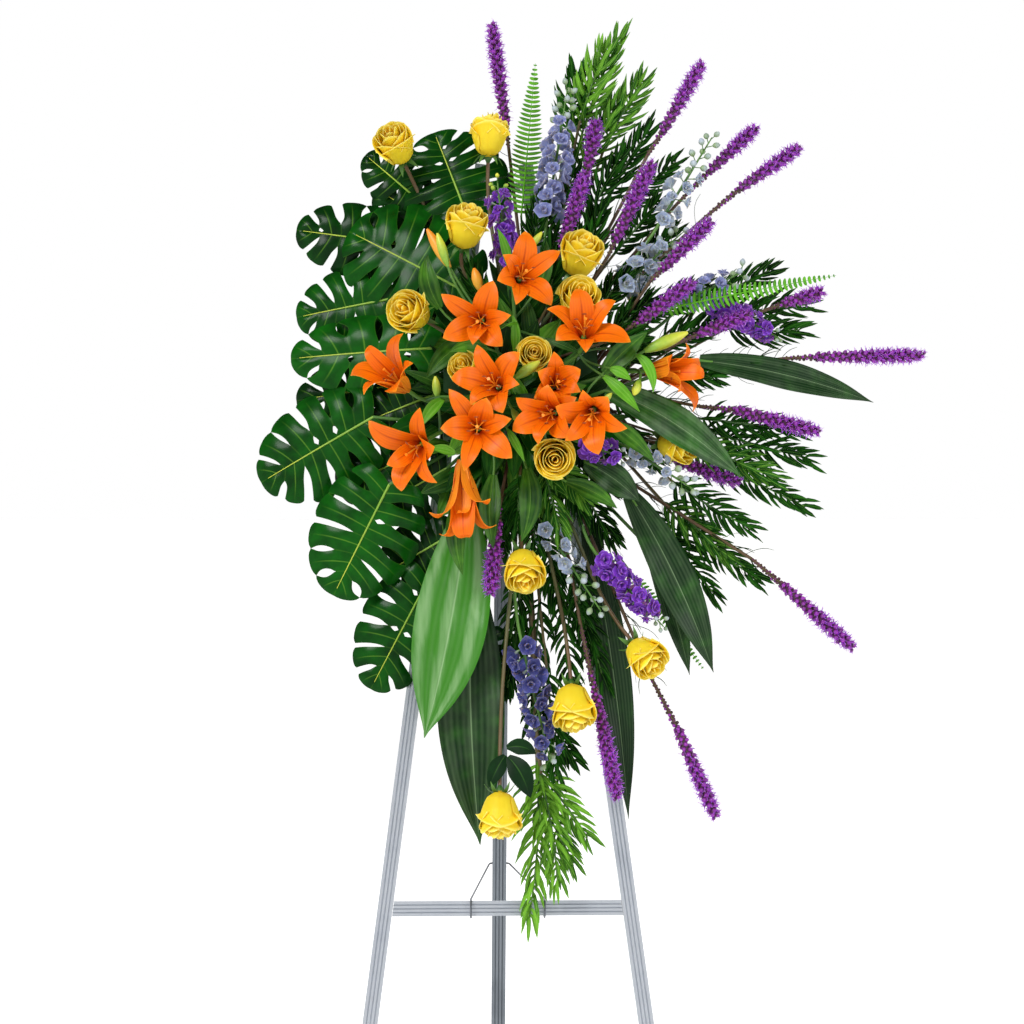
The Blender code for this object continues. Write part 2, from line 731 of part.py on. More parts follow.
def build_rose(name, centre, faces, size, bunch):
    """A rose bloom, and in its bunch the stem with five sepals."""
    axis = spray_way(*faces)
    base = seen(*centre) - axis * ROSE_MIDDLE * size
    facing = frames([base, base + axis])[0][1]
    bm = bmesh.new()
    petal_head(bm, base + axis * GAP, axis, facing, size)
    place(name, mesh_of(bm, name), "rose")
    leave = bunch.leave(base, ROSE_STEM, ROSE_STRAIGHT)
    neck = base - axis * ROSE_NECK
    path = [bunch.root, *bend(leave, neck, bunch.way_to(base), axis, 3), base]
    bunch.add(rose_stem(path, axis))


def rose_stem(path, axis):
    """A rose stem with five reflexed sepals under the bloom."""
    bm = bmesh.new()
    rings = []
    last = len(path) - 1
    for i, (_, facing, side) in enumerate(frames(path)):
        thick = ROSE_NECK if i == last else ROSE_STEM
        rings.append(ring(bm, path[i], facing, side, [thick] * SEPALS, 0.5))
    openings = {(last - 1, j) for j in range(SEPALS)}
    skin(bm, rings, openings)
    bm.faces.new(list(reversed(rings[0])))
    bm.faces.new(rings[-1])
    for i, j in openings:
        quad = side_of(rings, i, j)
        reach = middle_of(quad) - path[last]
        outward = (reach - axis * reach.dot(axis)).normalized()
        grow_needle(bm, quad, path[last] + outward * SEPAL_REACH - axis * SEPAL_DROP)
    return mesh_of(bm, "rose_stem")


# Lilies: name, throat (across, up, out), and the tips of its tepals (right, up) from the throat
LILIES = (
    (
        "lily_top",
        (20, 1345, 190),
        ((8, 70), (60, 40), (42, -44), (-8, -39), (-26, 34), (-32, -8)),
    ),
    (
        "lily_upper_left",
        (-38, 1281, 195),
        ((-60, 40), (18, 60), (45, -3), (-9, -36), (-55, -30), (33, -36)),
    ),
    (
        "lily_left",
        (-158, 1186, 185),
        ((-2, 76), (-42, 62), (18, 34), (-76, 6), (-58, -15), (-12, -14)),
    ),
    (
        "lily_upper_right",
        (116, 1260, 215),
        ((-12, 69), (52, 46), (72, -3), (0, -26), (-44, -6), (-57, 34)),
    ),
    (
        "lily_middle_upper",
        (-14, 1183, 222),
        ((-30, 62), (33, 51), (-69, 12), (33, 3), (3, -42), (-36, -30)),
    ),
    (
        "lily_lower_left",
        (-130, 1095, 200),
        ((-78, 33), (0, 56), (-20, -70), (20, -62), (-50, -28), (22, -3)),
    ),
    (
        "lily_middle_lower",
        (-43, 1120, 232),
        ((-42, 60), (-56, 0), (-21, -64), (51, -44), (50, 14), (12, 46)),
    ),
    (
        "lily_inner_right",
        (71, 1183, 205),
        ((0, 52), (41, 23), (41, -6), (-30, -18), (-24, 22), (12, -30)),
    ),
    (
        "lily_front_right",
        (71, 1143, 226),
        ((-57, 23), (-62, -26), (-23, -47), (32, 27), (24, -36), (-6, 42)),
    ),
    (
        "lily_outer_right",
        (130, 1146, 236),
        ((-14, 32), (20, 23), (51, -26), (8, -65), (-42, -44), (-56, 8)),
    ),
    (
        "lily_hanging",
        (-67, 1057, 196),
        ((-51, -68), (-42, -92), (6, -98), (48, -45), (54, -80), (-5, -60)),
    ),
    (
        "lily_right",
        (224, 1206, 165),
        ((48, 42), (60, 28), (70, -10), (57, -60), (36, -36), (21, 32)),
    ),
)
TEPAL_LENGTH = 0.078
TEPAL_HALF_WIDTH = 0.0125
TEPAL_APART = math.radians(55)
TEPAL_LEAST_REACH = 0.020
TEPAL_RISE = 0.55
TEPAL_HALF_DEPTH = 0.0007
# Where a tepal is widest: least way out, way up, and how much of its own reach and rise it has there
BELLY_OUT = 0.012
BELLY_UP = 0.010
BELLY_REACH = 0.45
BELLY_RISE = 0.55
BELLY_ROOM = 0.92
# The throat: along the axis and radius of its three rings. Then how far the pistil stands out
LILY_THROAT = ((0.0, 0.0045), (0.012, 0.0095), (0.0145, 0.0075))
THROAT_DEPTH = 0.016
PISTIL_REACH = 0.045
LILY_NECK = 0.007
LILY_STRAIGHT = 0.06
LILY_STRAIGHT_SHARE = 0.5
LILY_STEM = 0.0026
LILY_STEM_END = 0.0034


def lily_shape(throat, tips):
    """Heart, axis and tips of a lily in space: a tepal that looks short stands out towards the viewer."""
    heart = seen(*throat)
    spots = []
    for right, up in tips:
        flat = math.hypot(right, up) * MM
        rise = math.sqrt(max(TEPAL_LENGTH**2 - flat**2, 0.0)) * TEPAL_RISE
        spots.append(seen(throat[0] + right, throat[1] + up, throat[2] + rise / MM))
    middle = sum(spots, Vector()) / len(spots)
    return heart, (middle - heart).normalized(), spots


def spread_angles(angles):
    """Six rising angles pushed apart until neighbours are TEPAL_APART or more from each other."""
    angles = list(angles)
    count = len(angles)
    for _ in range(40):
        for k in range(count):
            after = (k + 1) % count
            turn = 2 * math.pi if after == 0 else 0.0
            lack = TEPAL_APART - (angles[after] + turn - angles[k])
            if lack > 0:
                angles[k] -= lack / 2
                angles[after] += lack / 2
    return angles


def build_lily(throat, tips, bunch):
    """The mesh of a lily: six tepals round a throat with a pistil. Its stalk goes to the bunch."""
    heart, axis, spots = lily_shape(throat, tips)
    facing = frames([heart, heart + axis])[0][1]
    side = axis.cross(facing)
    polar = []
    for spot in spots:
        reach = spot - heart
        along = reach.dot(axis)
        out = reach - axis * along
        angle = math.atan2(out.dot(side), out.dot(facing))
        polar.append((angle, max(out.length, TEPAL_LEAST_REACH), along))
    polar.sort()
    angles = spread_angles([angle for angle, _, _ in polar])
    tepals = len(angles)
    apart = 2 * math.pi / tepals
    turn = sum(angle - k * apart for k, angle in enumerate(angles)) / tepals / apart - 0.5
    base = heart - axis * THROAT_DEPTH
    bm = bmesh.new()
    rings = []
    for along, radius in LILY_THROAT:
        rings.append(ring(bm, base + axis * along, facing, side, [radius] * tepals, turn))
    skin(bm, rings, {(1, j) for j in range(tepals)})
    bm.faces.new(list(reversed(rings[0])))
    cap(bm, rings[-1], bm.verts.new(heart + axis * PISTIL_REACH))
    for j, (angle, (_, out, along)) in enumerate(zip(angles, polar)):
        way = facing * math.cos(angle) + side * math.sin(angle)
        spot = heart + way * out + axis * along
        belly_out = max(out * BELLY_REACH, BELLY_OUT)
        before = (angle - angles[j - 1]) % (2 * math.pi)
        after = (angles[(j + 1) % tepals] - angle) % (2 * math.pi)
        room = belly_out * math.tan(min(before, after, math.pi / 2) / 2) * BELLY_ROOM
        belly = heart + way * belly_out + axis * (BELLY_UP + max(along, 0.0) * BELLY_RISE)
        across = side * math.cos(angle) - facing * math.sin(angle)
        station = (belly, across, min(TEPAL_HALF_WIDTH, room), TEPAL_HALF_DEPTH)
        grow_blade(bm, side_of(rings, 1, j), [station], spot)
    foot = base - axis * GAP * 2
    neck = foot - axis * LILY_NECK
    leave = bunch.leave(neck, LILY_STEM, LILY_STRAIGHT, LILY_STRAIGHT_SHARE)
    path = [bunch.root, *bend(leave, neck, bunch.way_to(neck), axis, 3), foot]
    bunch.add(stem(path, LILY_STEM, LILY_STEM_END))
    return mesh_of(bm, "bloom")


# Liatris: spike tip, spike foot, end of the beaded stretch, each (across, up, out)
LIATRIS = {
    "liatris_upper": (
        ((-22, 1724, 12), (-1, 1571, 12), (3, 1540, 14)),
        ((134, 1580, 62), (122, 1509, 62), (118, 1480, 62)),
        ((119, 1503, 112), (83, 1392, 108), (76, 1370, 106)),
        ((218, 1518, 100), (163, 1401, 96), (152, 1378, 94)),
        ((293, 1667, 48), (233, 1563, 50), (211, 1529, 50)),
        ((374, 1571, 66), (305, 1506, 64), (256, 1457, 62)),
        ((440, 1542, 56), (349, 1479, 54), (295, 1434, 52)),
    ),
    "liatris_right": (
        ((307, 1431, 118), (233, 1358, 114), (215, 1340, 112)),
        ((280, 1340, 140), (199, 1281, 134), (180, 1268, 132)),
        ((365, 1292, 97), (289, 1262, 96), (262, 1250, 95)),
        ((475, 1326, 34), (416, 1307, 34), (395, 1300, 34)),
        ((628, 1230, 64), (463, 1227, 60), (416, 1225, 60)),
        ((470, 1115, 84), (343, 1148, 82), (284, 1154, 80)),
        ((350, 1040, 44), (253, 1071, 46), (235, 1078, 48)),
    ),
    "liatris_lower": (
        ((523, 789, 60), (415, 885, 60), (370, 923, 60)),
        ((316, 534, 70), (257, 669, 70), (217, 746, 70)),
        ((167, 563, 88), (133, 722, 86), (112, 820, 86)),
    ),
    "liatris_centre": (((-25, 872, 146), (-14, 984, 144), (-10, 1005, 142)),),
}
LIATRIS_STEM = 0.0026
SPIKE_RADIUS = 0.0135
SPIKE_END_RADIUS = 0.0108
BEAD_RADIUS = 0.0066
# Bumps of the florets: how far apart, how many round the spike, and their dent, rise and chance difference
# beside its radius
BUMP_STEP = 0.016
SPIKE_SIDES = 5
BUMP_LOW = 0.80
BUMP_RISE = 0.40
BUMP_CHANCE = 0.06


def build_liatris(spikes, bunch, rng):
    """Spikes whose fluffy head and beaded stretch are raised from the stem by turns."""
    for tip_at, foot_at, beads_at in spikes:
        tip, foot, beads = seen(*tip_at), seen(*foot_at), seen(*beads_at)
        path = [bunch.root, bunch.leave(beads, LIATRIS_STEM)]
        radii = [LIATRIS_STEM, LIATRIS_STEM]
        for start, end, first, last in (
            (beads, foot, BEAD_RADIUS, BEAD_RADIUS),
            (foot, tip, SPIKE_RADIUS, SPIKE_END_RADIUS),
        ):
            count = max(2, round((end - start).length / BUMP_STEP))
            for step in range(count):
                t = step / count
                path.append(start + (end - start) * t)
                radii.append(first + (last - first) * t)
        bm = bmesh.new()
        rings = []
        for i, (_, facing, side) in enumerate(frames(path)):
            sizes = []
            for j in range(SPIKE_SIDES):
                share = 1.0
                if i > 1:
                    bump = (i + 2 * j) % SPIKE_SIDES % 2
                    share = BUMP_LOW + BUMP_RISE * bump + rng.uniform(-BUMP_CHANCE, BUMP_CHANCE)
                sizes.append(radii[i] * share)
            rings.append(ring(bm, path[i], facing, side, sizes, 0.5 * (i % 2)))
        skin(bm, rings)
        bm.faces.new(list(reversed(rings[0])))
        cap(bm, rings[-1], bm.verts.new(tip))
        bunch.add(mesh_of(bm, "spike"))


# Florets on a stem: its foot and tip (across, up, out), their count and radius, and how much of it is bare
DELPHINIUM = {
    "delphinium_upper": (
        ((60, 1432, 74), (91, 1628, 70), 18, 0.0160, 0.0),
        ((228, 1425, 84), (308, 1556, 92), 9, 0.0110, 0.1),
        ((170, 1330, 88), (262, 1412, 88), 10, 0.0150, 0.0),
        ((262, 1308, 86), (356, 1356, 90), 8, 0.0130, 0.1),
    ),
    "delphinium_right": (((185, 1090, 118), (282, 1028, 112), 9, 0.0130, 0.0),),
    "delphinium_lower": (
        ((56, 975, 104), (142, 845, 112), 11, 0.0130, 0.0),
        ((22, 800, 84), (66, 618, 78), 14, 0.0150, 0.0),
    ),
}
STOCK = {
    "stock_top": (((0, 1362, 118), (-14, 1490, 100), 12, 0.0170, 0.0),),
    "stock_right": (((305, 1312, 62), (410, 1256, 58), 9, 0.0170, 0.0),),
    "stock_lower": (
        ((112, 1098, 154), (176, 1076, 146), 8, 0.0160, 0.0),
        ((140, 925, 104), (236, 822, 100), 13, 0.0180, 0.0),
    ),
}
FLORET_STEM = 0.0024
FLORET_STEM_TIP = 0.00168
FLORET_TAPER = 0.35
DELPHINIUM_REACH = 0.010
STOCK_REACH = 0.009
FLORET_PETALS = 3
# Radius and lift of a petal's tip and of the notch beside it, and the heart's depth, beside the radius
FLORET_TIP = (1.0, 0.5)
FLORET_NOTCH = (0.5, 0.1)
FLORET_DEPTH = 0.12
STEM_OVERLAP = 0.004


def floret_stem(foot, tip, count, spread, reach):
    """A stem with cupped florets on its four sides by turns."""
    path = [foot + (tip - foot) * (i / count) for i in range(count + 1)]
    grown = {}
    for i in range(count):

        def grow(bm, quad, size=spread * (1.0 - FLORET_TAPER * i / count)):
            """A floret that is smaller the nearer it stands to the tip."""
            grow_floret(bm, quad, reach, size)

        grown[(i, i % 4)] = grow
    return stem(path, FLORET_STEM, FLORET_STEM_TIP, 4, grown)


def build_florets(stems, bunch, reach):
    """Stems with florets, from the bunch's root."""
    for foot_at, tip_at, count, spread, bare in stems:
        foot, tip = seen(*foot_at), seen(*tip_at)
        leave = bunch.leave(foot, FLORET_STEM)
        start = foot + (tip - foot) * bare
        inside = start + (tip - foot).normalized() * STEM_OVERLAP
        path = [bunch.root, *bend(leave, inside, bunch.way_to(foot), tip - foot, 3)]
        bunch.add(stem(path, FLORET_STEM, FLORET_STEM * 0.9))
        bunch.add(floret_stem(start, tip, count, spread, reach))


# Monstera leaves: where the stalk joins, tip (across, up, out), half width, droop of the tip
MONSTERA = {
    "monstera_upper": (
        ((-60, 1440, 52), (-109, 1566, 34), 84, 0.06),
        ((-125, 1455, 26), (-212, 1530, 22), 42, 0.05),
        ((-67, 1327, 84), (-239, 1419, 52), 96, 0.08),
        ((-160, 1395, 34), (-316, 1418, 24), 56, 0.06),
        ((-150, 1318, 56), (-318, 1288, 34), 62, 0.10),
        ((-112, 1240, 84), (-328, 1228, 60), 58, 0.12),
        ((-130, 1190, 34), (-320, 1164, 6), 54, 0.12),
    ),
    "monstera_lower_left": (
        ((-200, 1137, 62), (-372, 1040, 40), 76, 0.12),
        ((-176, 1036, 84), (-262, 868, 60), 80, 0.10),
        ((-140, 1080, 44), (-256, 1030, 24), 60, 0.10),
        ((-118, 892, 42), (-206, 727, 22), 66, 0.10),
        ((-40, 812, 44), (-34, 690, 30), 54, 0.06),
    ),
}
STALK = 0.0030
STALK_OVERLAP = 0.012
# Lobes a side, how far a slit's end lies from the midrib, and how wide the slit is at the leaf's edge
LOBES = 5
SLIT_SHARE = 0.42
SLIT_WIDTH = 0.14
LOBE_BULGE = 0.14
RIB_SHARE = 0.92
# The outline: an ellipse whose middle lies that far along the leaf, up to a heart-shaped foot
OUTLINE_CENTRE = 0.42
OUTLINE_TURN = math.radians(148)
OUTLINE_EVEN = 0.9
HEART_FOOT = (-0.10, 0.42)
# How the halves rise from the midrib and curl down to their edges
HALF_RISE = 0.10
HALF_CURL = 0.315


def monstera_blade(base, tip, half_width, droop):
    """A heart-shaped blade with deep slits between its lobes, folded a little along the midrib."""
    along = tip - base
    length = along.length
    along.normalize()
    face = (FRONT - along * FRONT.dot(along)).normalized()
    side = face.cross(along)
    bm = bmesh.new()

    def spot(place):
        """A corner of the curved blade over a flat place."""
        x, y = place
        sink = droop * length * (x / length) ** 2 + HALF_CURL * y * y / half_width
        return bm.verts.new(base + along * x + side * y + face * (abs(y) * HALF_RISE - sink))

    def face_of(corners, hand):
        """A face that looks forward on either side of the midrib."""
        bm.faces.new(corners if hand > 0 else corners[::-1])

    rib = [spot((length * RIB_SHARE * i / LOBES, 0.0)) for i in range(LOBES)] + [spot((length, 0.0))]
    for hand in (-1, 1):
        outer = [Vector((length * HEART_FOOT[0], hand * half_width * HEART_FOOT[1]))]
        for i in range(1, LOBES + 1):
            angle = OUTLINE_TURN * (1 - i / LOBES) ** OUTLINE_EVEN
            edge_x = length * (OUTLINE_CENTRE + (1 - OUTLINE_CENTRE) * math.cos(angle))
            outer.append(Vector((edge_x, hand * half_width * math.sin(angle))))
        inner = []
        for i, edge in enumerate(outer):
            inner.append(Vector((length * RIB_SHARE * i / LOBES, 0.0)).lerp(edge, SLIT_SHARE))
        slits = [spot(place) for place in inner[:-1]] + [rib[LOBES]]
        for i in range(LOBES - 1):
            face_of([rib[i], slits[i], slits[i + 1], rib[i + 1]], hand)
            near = outer[i].lerp(outer[i + 1], SLIT_WIDTH)
            far = outer[i + 1].lerp(outer[i], SLIT_WIDTH)
            middle = (near + far) / 2
            peak = middle + (middle - (inner[i] + inner[i + 1]) / 2) * LOBE_BULGE
            face_of([slits[i], spot(near), spot(peak), spot(far), slits[i + 1]], hand)
        face_of([rib[LOBES - 1], slits[LOBES - 1], rib[LOBES]], hand)
    return thickened(bm)


def build_monstera(leaves, bunch):
    """Leaves on stalks from the bunch's root."""
    for base_at, tip_at, half_width, droop in leaves:
        base, tip = seen(*base_at), seen(*tip_at)
        bunch.add(monstera_blade(base, tip, half_width * MM, droop))
        inside = base + (tip - base).normalized() * STALK_OVERLAP
        path = [bunch.root, bunch.leave(base, STALK), base, inside]
        bunch.add(stem(path, STALK, STALK * 0.8, 5))


# Aspidistra leaves: foot, middle, tip (across, up, out), half width
ASPIDISTRA = {
    "greens_low": (((121, 975, 28), (165, 780, 28), (184, 531, 20), 26),),
    "aspidistra_front": (
        ((-62, 985, 104), (-76, 830, 112), (-124, 655, 88), 54),
        ((-52, 880, 70), (-62, 690, 68), (-40, 493, 48), 50),
    ),
    "aspidistra_right": (
        ((290, 1222, 78), (420, 1210, 74), (553, 1159, 52), 22),
        ((149, 1177, 150), (240, 1150, 146), (353, 1048, 110), 27),
        ((118, 1069, 128), (165, 1048, 128), (200, 1010, 116), 22),
    ),
    "aspidistra_lower": (
        ((185, 1020, 92), (262, 900, 98), (312, 752, 74), 30),
        ((215, 940, 62), (255, 850, 64), (276, 748, 52), 17),
    ),
}
BLADE_ROWS = 6
BLADE_PULL = 0.33
# The outline: a sine's arch between these two shares of its half turn, to a power that fills it out
BLADE_ARCH = (0.10, 0.96)
BLADE_FULL = 0.8
BLADE_FOLD = 0.16
BLADE_WAVE = 0.10
WAVE_TURN = 2.6
BLADE_OVERLAP = 0.020


def aspidistra_blade(foot, middle, tip, half_width):
    """A lance-shaped blade, folded along its rib and waved along its edges."""
    path = bend(foot, tip, middle - foot, tip - middle, BLADE_ROWS, BLADE_PULL)
    bm = bmesh.new()
    rows = []
    first, last = BLADE_ARCH
    for i, (_, facing, side) in enumerate(frames(path)[:-1]):
        arch = first + (last - first) * i / BLADE_ROWS
        half = half_width * math.sin(math.pi * arch) ** BLADE_FULL
        fold = facing * BLADE_FOLD * half
        wave = facing * BLADE_WAVE * half * math.sin(WAVE_TURN * i)
        left = bm.verts.new(path[i] - side * half + fold + wave)
        right = bm.verts.new(path[i] + side * half + fold - wave)
        rows.append((left, bm.verts.new(path[i]), right))
    for low, high in zip(rows, rows[1:]):
        bm.faces.new((low[0], low[1], high[1], high[0]))
        bm.faces.new((low[1], low[2], high[2], high[1]))
    end = bm.verts.new(tip)
    bm.faces.new((rows[-1][0], rows[-1][1], end))
    bm.faces.new((rows[-1][1], rows[-1][2], end))
    return thickened(bm)


def build_aspidistra(leaves, bunch):
    """Blades on short stalks from the bunch's root."""
    for foot_at, middle_at, tip_at, half_width in leaves:
        foot, middle, tip = seen(*foot_at), seen(*middle_at), seen(*tip_at)
        bunch.add(aspidistra_blade(foot, middle, tip, half_width * MM))
        inside = foot + (middle - foot).normalized() * BLADE_OVERLAP
        bunch.add(stem([bunch.root, bunch.leave(foot, STALK), foot, inside], STALK, STALK * 0.7, 5))


# Podocarpus shoots: foot, tip (across, up, out), leaf length, leaves a side
PODOCARPUS = {
    "greens_top": (
        ((100, 1515, 24), (184, 1745, 14), 56, 9),
        ((150, 1550, 24), (222, 1672, 14), 42, 6),
        ((92, 1560, 14), (110, 1676, 8), 44, 5),
        ((150, 1462, 22), (232, 1598, 14), 44, 6),
        ((178, 1450, 14), (276, 1540, 6), 40, 5),
    ),
    "podocarpus_right": (
        ((290, 1305, 0), (430, 1375, -14), 42, 7),
        ((320, 1286, -10), (492, 1312, -24), 40, 8),
        ((290, 1120, 30), (494, 1064, 14), 46, 9),
        ((270, 1085, 18), (486, 985, 0), 46, 9),
        ((255, 985, 18), (408, 870, 2), 44, 7),
        ((235, 965, 8), (336, 842, -6), 42, 6),
    ),
    "greens_low": (
        ((50, 870, 30), (32, 640, 26), 46, 8),
        ((80, 880, 34), (104, 650, 30), 44, 8),
        ((46, 620, 40), (32, 336, 36), 56, 10),
        ((52, 600, 42), (146, 470, 40), 48, 6),
    ),
    "rose_stems_lower": (((66, 1075, 130), (140, 985, 126), 38, 7),),
}
SHOOT_RADIUS = 0.0021
SHOOT_END = 0.8
SHOOT_OVERLAP = 0.006
LEAF_ANGLE = math.radians(38)
# Length of the first leaves beside the longest
SHORT_LEAF = 0.75


def leafy_shoot(foot, tip, leaf, count):
    """A shoot with narrow leaves on its left and right, and fewer before and behind."""
    way = (tip - foot).normalized()
    end = tip - way * leaf * SHOOT_END
    path = [foot + (end - foot) * (i / count) for i in range(count + 1)]
    grown = {}
    for i in range(count):
        arch = math.sin(math.pi * (i + 1) / (count + 1))

        def grow(bm, quad, length=leaf * (SHORT_LEAF + (1 - SHORT_LEAF) * arch)):
            """A leaf that is longer the nearer it stands to the shoot's middle."""
            out = (quad[1].co - quad[0].co).cross(quad[3].co - quad[0].co).normalized()
            leaf_way = way * math.cos(LEAF_ANGLE) + out * math.sin(LEAF_ANGLE)
            grow_needle(bm, quad, middle_of(quad) + leaf_way * length)

        sides = {0: (1, 3, 0), 1: (1, 3, 2), 2: (1, 3)}[i % 3]
        grown.update({(i, j): grow for j in sides})
    return stem(path, SHOOT_RADIUS, SHOOT_RADIUS * 0.6, 4, grown)


def build_podocarpus(shoots, bunch):
    """Leafy shoots on bare stems from the bunch's root."""
    for foot_at, tip_at, leaf, count in shoots:
        foot, tip = seen(*foot_at), seen(*tip_at)
        inside = foot + (tip - foot).normalized() * SHOOT_OVERLAP
        path = [bunch.root, bunch.leave(foot, SHOOT_RADIUS), foot, inside]
        bunch.add(stem(path, SHOOT_RADIUS, SHOOT_RADIUS))
        bunch.add(leafy_shoot(foot, tip, leaf * MM, count))


# Fern fronds: foot, tip (across, up, out), half width, leaflet pairs
FERNS = {
    "greens_top": (((22, 1440, 44), (43, 1666, 34), 27, 18),),
    "fern_right": (((240, 1300, 122), (496, 1350, 112), 17, 18),),
}
FERN_RIB = 0.0016
FERN_ARCH = 0.03
FERN_DROOP = 0.18
LEAFLET_LEAN = 0.95


def fern_blade(foot, tip, half_width, pairs):
    """One thin arched blade whose outline is cut to the rib between its leaflets."""
    along = tip - foot
    length = along.length
    along.normalize()
    face = (FRONT - along * FRONT.dot(along)).normalized()
    side = along.cross(face)
    bm = bmesh.new()

    def spot(x, y):
        """A corner of the arched blade over a flat place."""
        arch = FERN_ARCH * length * math.sin(math.pi * x / length) - FERN_DROOP * abs(y)
        return bm.verts.new(foot + along * x + side * y + face * arch)

    pitch = length / (pairs + 1)
    left = [spot(i * pitch, -FERN_RIB) for i in range(pairs + 1)]
    right = [spot(i * pitch, FERN_RIB) for i in range(pairs + 1)]
    for i in range(pairs):
        t = (i + 0.5) / pairs
        wide = half_width * min(1.0, 0.55 + 1.4 * t) * (1 - t**3)
        bm.faces.new((left[i], right[i], right[i + 1], left[i + 1]))
        for hand, notches in ((-1, left), (1, right)):
            peak = spot((i + LEAFLET_LEAN) * pitch, hand * max(wide, FERN_RIB * 2))
            corners = [notches[i], peak, notches[i + 1]]
            bm.faces.new(corners if hand > 0 else corners[::-1])
    bm.faces.new((left[-1], right[-1], spot(length, 0.0)))
    return thickened(bm)


def build_ferns(fronds, bunch):
    """Fronds on their stalks."""
    for foot_at, tip_at, half_width, pairs in fronds:
        foot, tip = seen(*foot_at), seen(*tip_at)
        bunch.add(fern_blade(foot, tip, half_width * MM, pairs))
        inside = foot + (tip - foot).normalized() * STALK_OVERLAP
        path = [bunch.root, bunch.leave(foot, SHOOT_RADIUS), foot, inside]
        bunch.add(stem(path, SHOOT_RADIUS, SHOOT_RADIUS * 0.7))


# Where the roots of some bunches point to, from the heart of the foam. The others point to their plants'
# middle
ROOTS = {
    "rose_stems_upper": (-30, 1330, 190),
    "rose_stems_lower": (50, 965, 182),
    "lily_stems": (10, 1180, 230),
    "aspidistra_front": (-115, 965, 146),
    "aspidistra_lower": (105, 965, 118),
    "liatris_lower": (190, 965, 66),
    "stock_lower": (140, 1010, 150),
    "delphinium_lower": (-25, 965, 84),
    "greens_low": (30, 965, 2),
    "delphinium_upper": (165, 1374, 96),
    "greens_top": (90, 1507, 8),
    "liatris_centre": (-10, 1005, 142),
}


def bunch_of(name, material, feet):
    """A bunch whose root points to its plants' middle, unless it has a place of its own."""
    middle = tuple(sum(values) / len(feet) for values in zip(*feet))
    return Bunch(name, material, ROOTS.get(name, middle))


def build_plants():
    """Every bunch of plants. Returns the holes that their stems need."""
    rng = random.Random(11)
    bunches = {}
    for name in ("rose_stems_upper", "rose_stems_lower", "lily_stems"):
        bunches[name] = Bunch(name, "stem", ROOTS[name])
    for name, spikes in LIATRIS.items():
        bunches[name] = bunch_of(name, "liatris", [spike[2] for spike in spikes])
        build_liatris(spikes, bunches[name], rng)
    for table, material, reach in (
        (DELPHINIUM, "delphinium", DELPHINIUM_REACH),
        (STOCK, "stock", STOCK_REACH),
    ):
        for name, stems in table.items():
            bunches[name] = bunch_of(name, material, [one[0] for one in stems])
            build_florets(stems, bunches[name], reach)
    for table, material, build in (
        (MONSTERA, "monstera", build_monstera),
        (ASPIDISTRA, "aspidistra", build_aspidistra),
        (PODOCARPUS, "podocarpus", build_podocarpus),
        (FERNS, "fern", build_ferns),
    ):
        for name, leaves in table.items():
            if name not in bunches:
                bunches[name] = bunch_of(name, material, [leaf[0] for leaf in leaves])
            build(leaves, bunches[name])
    for name, centre, faces, size, group in ROSES:
        build_rose(name, centre, faces, size, bunches[group])
    for name, throat, tips in LILIES:
        place(name, build_lily(throat, tips, bunches["lily_stems"]), "lily")
    return [bunch.build() for bunch in bunches.values()]


def main():
    """Builds the whole spray under one empty, which puts the middle of its outline at the origin."""
    for obj in list(bpy.data.objects):
        bpy.data.objects.remove(obj)
    for name in (SPRAY, "cutters"):
        bpy.context.scene.collection.children.link(bpy.data.collections.new(name))
    easel_frame = new_object(SPRAY, None)
    bpy.context.scene.collection.objects.link(easel_frame)
    build_easel()
    build_brace()
    build_foam(build_plants())
    easel_frame.location = -OUTLINE_MIDDLE


main()
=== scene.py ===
"""Looks of the standing funeral spray: its flowers and leaves, its stand's finishes, and a plain studio.

Lengths are metres unless a name says otherwise. The plants keep the places that their solids have in the
frame. A place in the spray is given as a viewer sees it, in millimetres: how far right of the stand's centre
line, how high above the floor, and how far out in front of the leaning stand.
"""

from __future__ import annotations

import logging
import math
from collections.abc import Sequence
from dataclasses import dataclass, field
from enum import Enum
from random import Random

import bpy
import numpy as np
from mathutils import Matrix, Vector

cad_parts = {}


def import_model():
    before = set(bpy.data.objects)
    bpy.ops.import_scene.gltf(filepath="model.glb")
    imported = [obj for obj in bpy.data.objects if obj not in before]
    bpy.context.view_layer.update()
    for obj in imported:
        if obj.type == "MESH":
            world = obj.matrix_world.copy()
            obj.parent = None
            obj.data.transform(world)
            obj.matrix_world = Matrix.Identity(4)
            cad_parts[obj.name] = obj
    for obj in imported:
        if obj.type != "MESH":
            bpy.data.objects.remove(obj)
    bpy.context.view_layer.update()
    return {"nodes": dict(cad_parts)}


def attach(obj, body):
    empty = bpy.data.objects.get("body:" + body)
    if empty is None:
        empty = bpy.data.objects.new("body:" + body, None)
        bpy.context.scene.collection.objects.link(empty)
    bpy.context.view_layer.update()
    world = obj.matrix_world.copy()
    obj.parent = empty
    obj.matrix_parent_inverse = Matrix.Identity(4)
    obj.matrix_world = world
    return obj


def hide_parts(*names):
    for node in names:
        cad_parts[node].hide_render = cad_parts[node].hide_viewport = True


log = logging.getLogger("spray")

Place = tuple[float, float, float]
Colour = tuple[int, int, int]
Sizes = tuple[float, ...]
Material = bpy.types.Material
Palette = dict[str, bpy.types.Material]
Object = bpy.types.Object
Socket = bpy.types.NodeSocket

MM = 0.001
FULL_TURN = 2 * math.pi
GOLDEN_ANGLE = math.radians(137.5)
SHARP_EDGE = math.radians(62)
X_WAY = Vector((1.0, 0.0, 0.0))
Z_WAY = Vector((0.0, 0.0, 1.0))

# Where the middle of the whole outline lies from the middle of the easel, which plants are laid out round
OUTLINE_MIDDLE = Vector((0.128, 0.106, 0.0))


# Layout of the spray


